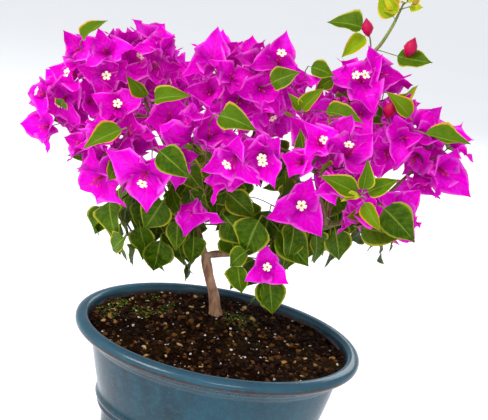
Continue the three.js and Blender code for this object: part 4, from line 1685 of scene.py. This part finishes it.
# %% The thorn tree
thorning, entry = new_growing_tree(
    "thorns_on_twigs",
    Spacing=("Float", 0.02),
    Length=("Float", 0.007),
    Thickness=("Float", 0.0006),
    Seed=("Int", 1),
    Finish=("Material", None),
)
lines = entry["Shape"].add("GeometryNodeMeshToCurve", sockets={"Mesh": entry["Shape"]})
spots = lines.add(
    "GeometryNodeCurveToPoints", {"mode": "LENGTH"}, {"Curve": lines, "Length": entry["Spacing"]}
)
tangent = Wire(spots.tree, spots.socket.node.outputs["Tangent"])
any_way = spots.add(
    "FunctionNodeRandomValue",
    {"data_type": "FLOAT_VECTOR"},
    {0: (-1.0, -1.0, -1.0), 1: (1.0, 1.0, 1.0), "Seed": entry["Seed"]},
)
outward = spots.add(
    "ShaderNodeVectorMath", {"operation": "CROSS_PRODUCT"}, {0: tangent, 1: any_way}
)
stand = spots.add("FunctionNodeAlignRotationToVector", {"axis": "Z"}, {"Vector": outward})
spine = spots.add(
    "GeometryNodeMeshCone",
    sockets={
        "Vertices": 5,
        "Side Segments": 2,
        "Radius Top": 0.04 * MM,
        "Radius Bottom": entry["Thickness"],
        "Depth": entry["Length"],
    },
)
thorn_size = draw_number(spots, 0.5, 1.3, 21)
thorns_set = spots.add(
    "GeometryNodeInstanceOnPoints",
    sockets={"Points": spots, "Instance": spine, "Rotation": stand, "Scale": thorn_size},
)
end_tree(thorns_set, entry["Finish"])
count_nodes(thorning)

# %% Thorn finish
thorn_finish, start, place, shader = new_finish("thorn", Roughness=0.55)
streaky = cloud(place, 400, 3)
tone = coats("8f7a4e", (streaky.rise(0.3, 0.7), "d6c8a0"))
wire_up(shader, Base_Color=tone, Roughness=0.45 + streaky * 0.2)
count_nodes(thorn_finish)

# %% Thorns
THORNY = (2, 40)  # sprays that a twig with thorns bears, between these
line_points, line_edges = [], []
for chain in twigs[:shoot_chains]:
    stout = [j for j in chain if THORNY[0] < load[j] < THORNY[1]]
    for first, second in zip(stout, stout[1:]):
        line_edges.append((len(line_points), len(line_points) + 1))
        line_points += [joints[first], joints[second]]
lines_mesh = bpy.data.meshes.new("twig_lines")
lines_mesh.from_pydata(np.array(line_points).tolist(), line_edges, [])
welded = bmesh.new()
welded.from_mesh(lines_mesh)
bmesh.ops.remove_doubles(welded, verts=welded.verts, dist=TOUCHING)
welded.to_mesh(lines_mesh)
welded.free()
thorns = run_tree(
    thorning, "thorns", lines_mesh, Spacing=26 * MM, Length=8 * MM, Thickness=0.55 * MM,
    Finish=thorn_finish,
)
keep_piece(thorns, "bark")

# %% [markdown]
# ## Finishes of the foliage
#
# A leaf is satin on top, with a pale midrib, side veins that leave it at a slant, and on this
# plant a thin yellow margin. Age runs through the `tint` number: old leaves low in the crown are a
# deep green, young ones at the tips go yellow-green with a warm blush at the edge. A bract is thin
# as paper, so some of the light that strikes it goes through: a faint glow of its own colour
# stands for that. Both read their pattern from the blade's own UV map.

# %% Veins
def veins(across, along, count, slant, midrib_width, vein_width):
    """How far a place is from a blade's midrib, the midrib, and the side veins at a slant."""
    aside = abs(across * 2 - 1)
    midrib = 1 - aside.rise(0.02, midrib_width)
    order = along * count - aside * slant
    near_vein = 1 - abs(order.math("FRACT", order) - 0.5).rise(0.02, vein_width)
    return aside, midrib, near_vein * (1 - aside.rise(0.6, 0.95))


# %% Leaf finish
# painted light: a leaf glows faintly in its own colour, for the light that passes through it
leaf_finish, start, place, shader = new_finish(
    "leaf", Specular_IOR_Level=0.1, Emission_Strength=0.12
)
age = own_number(start)
aside, midrib, side_veins = veins(*own_map(start), 7.5, 2.1, 0.09, 0.1)
margin = aside.rise(0.8, 0.96)
mottle = cloud(place, 180, 4, 0.6)
blush = margin * age.rise(0.35, 0.6) * cloud(place, 40, 2).rise(0.35, 0.55)
ages = (0.0, "1c3802"), (0.3, "305002"), (0.55, "4f7004"), (0.8, "8ca408"), (1.0, "c0c428")
tone = coats(
    ramp(age, *ages),
    (mottle.rise(0.35, 0.7) * 0.35, "6c8408"),
    (midrib * 0.45, "93a83c"),
    (side_veins * 0.16, "80983a"),
    (margin * (0.2 + age * 0.95), "ccc83a"),
    (blush * 0.8, "e0782a"),
)
wire_up(
    shader,
    Base_Color=tone,
    Emission_Color=tone,
    Roughness=0.4 + mottle * 0.2,
    Normal=raised(mottle * 0.5 - midrib * 0.8 - side_veins * 0.5, 0.0006, 0.6),
)
count_nodes(leaf_finish)

# %% Bract finish
bract_finish, start, place, shader = new_finish(
    "bract", Roughness=0.6, Specular_IOR_Level=0.02, Emission_Strength=0.17
)
across, along = own_map(start)
aside, midrib, side_veins = veins(across, along, 6.0, 2.6, 0.08, 0.12)
net = 1 - abs(cloud(place, 330, 4, 0.6) - 0.5).rise(0.0, 0.07)
soft = cloud(place, 70, 3)
tone = coats(
    "c402a4",
    (own_number(start).rise(0.0, 1.0), "f402da"),
    (soft.rise(0.42, 0.72) * 0.5, "f62cf0"),
    (aside.rise(0.72, 1.0) * 0.5, "ff80f0"),
    # painted shade: each bract darker towards its foot, at the shaded heart of the cluster
    ((1 - along.rise(0.0, 0.4)) * 0.6, "8c0084"),
    (net * 0.2, "8a0278"),
    (side_veins * 0.35, "9a0280"),
    (midrib * 0.3, "c43a86"),
)
wire_up(
    shader,
    Base_Color=tone,
    Emission_Color=tone,
    Normal=raised(soft * 0.4 - side_veins * 0.6 - midrib * 0.8 - net * 0.3, 0.0007, 0.6),
)
count_nodes(bract_finish)

# %% [markdown]
# The tubes go from dark wine at the foot to rose at the mouth, the stars are cream round a golden
# throat, and the buds go from green to deep red by their own number, darker at the tip. All of it
# follows the map along each shape, so no flower needs a picture.

# %% Flower finishes
tube_finish, start, place, shader = new_finish("flower_tube", Roughness=0.55)
_, along = own_map(start)
tone = coats(
    "9a1a58",
    (along.rise(0.0, 0.9), "cc2060"),
    (along.rise(0.7, 1.0) * 0.7, "e0508a"),
    (cloud(place, 600, 3) * 0.25, "7c2440"),
)
wire_up(shader, Base_Color=tone)

# painted light: the stars glow faintly in their own colour
star_finish, start, place, shader = new_finish("flower_star", Roughness=0.6, Emission_Strength=0.12)
_, along = own_map(start)
crisp = along.rise(0.8, 1.0) * cloud(place, 500, 3) * 0.3
tone = coats("a86a1c", (along.rise(0.2, 0.5), "fdf0d0"), (crisp, "f2d9a6"))
wire_up(shader, Base_Color=tone, Emission_Color=tone)
count_nodes(tube_finish, star_finish)

# %% Bud finish
bud_finish, start, place, shader = new_finish("bud", Roughness=0.5, Specular_IOR_Level=0.2)
around, along = own_map(start)
ridges = (around * 3).math("PINGPONG", around * 3, 0.5)
tone = coats(
    "9aa02c",
    (own_number(start), "c0064c"),
    (along.rise(0.5, 1.0) * 0.5, "6f0f2c"),
    (ridges.rise(0.3, 0.5) * 0.3, "d03060"),
)
wire_up(shader, Base_Color=tone, Normal=raised(ridges, 0.0006, 0.6))
count_nodes(bud_finish)

# %% End the piles
green_masses = leafy + sorted(set(masses) - set(leafy) - set(blooms))
leaves.finish("leaves", leaf_finish, "leaves", *green_masses)
bracts.finish("bracts", bract_finish, "bracts", *blooms)
tubes.finish("flower_tubes", tube_finish, "bracts")
stars.finish("flower_stars", star_finish, "bracts")
buds.finish("buds", bud_finish, "bracts")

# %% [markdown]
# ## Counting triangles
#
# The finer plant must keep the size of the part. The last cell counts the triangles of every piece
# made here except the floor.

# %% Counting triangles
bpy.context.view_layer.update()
triangles = sum(
    len(face.vertices) - 2
    for piece in bpy.context.scene.objects
    if piece.type == "MESH" and piece != floor and piece.name not in frame["nodes"]
    for face in piece.data.polygons
)
print("triangles:", triangles)
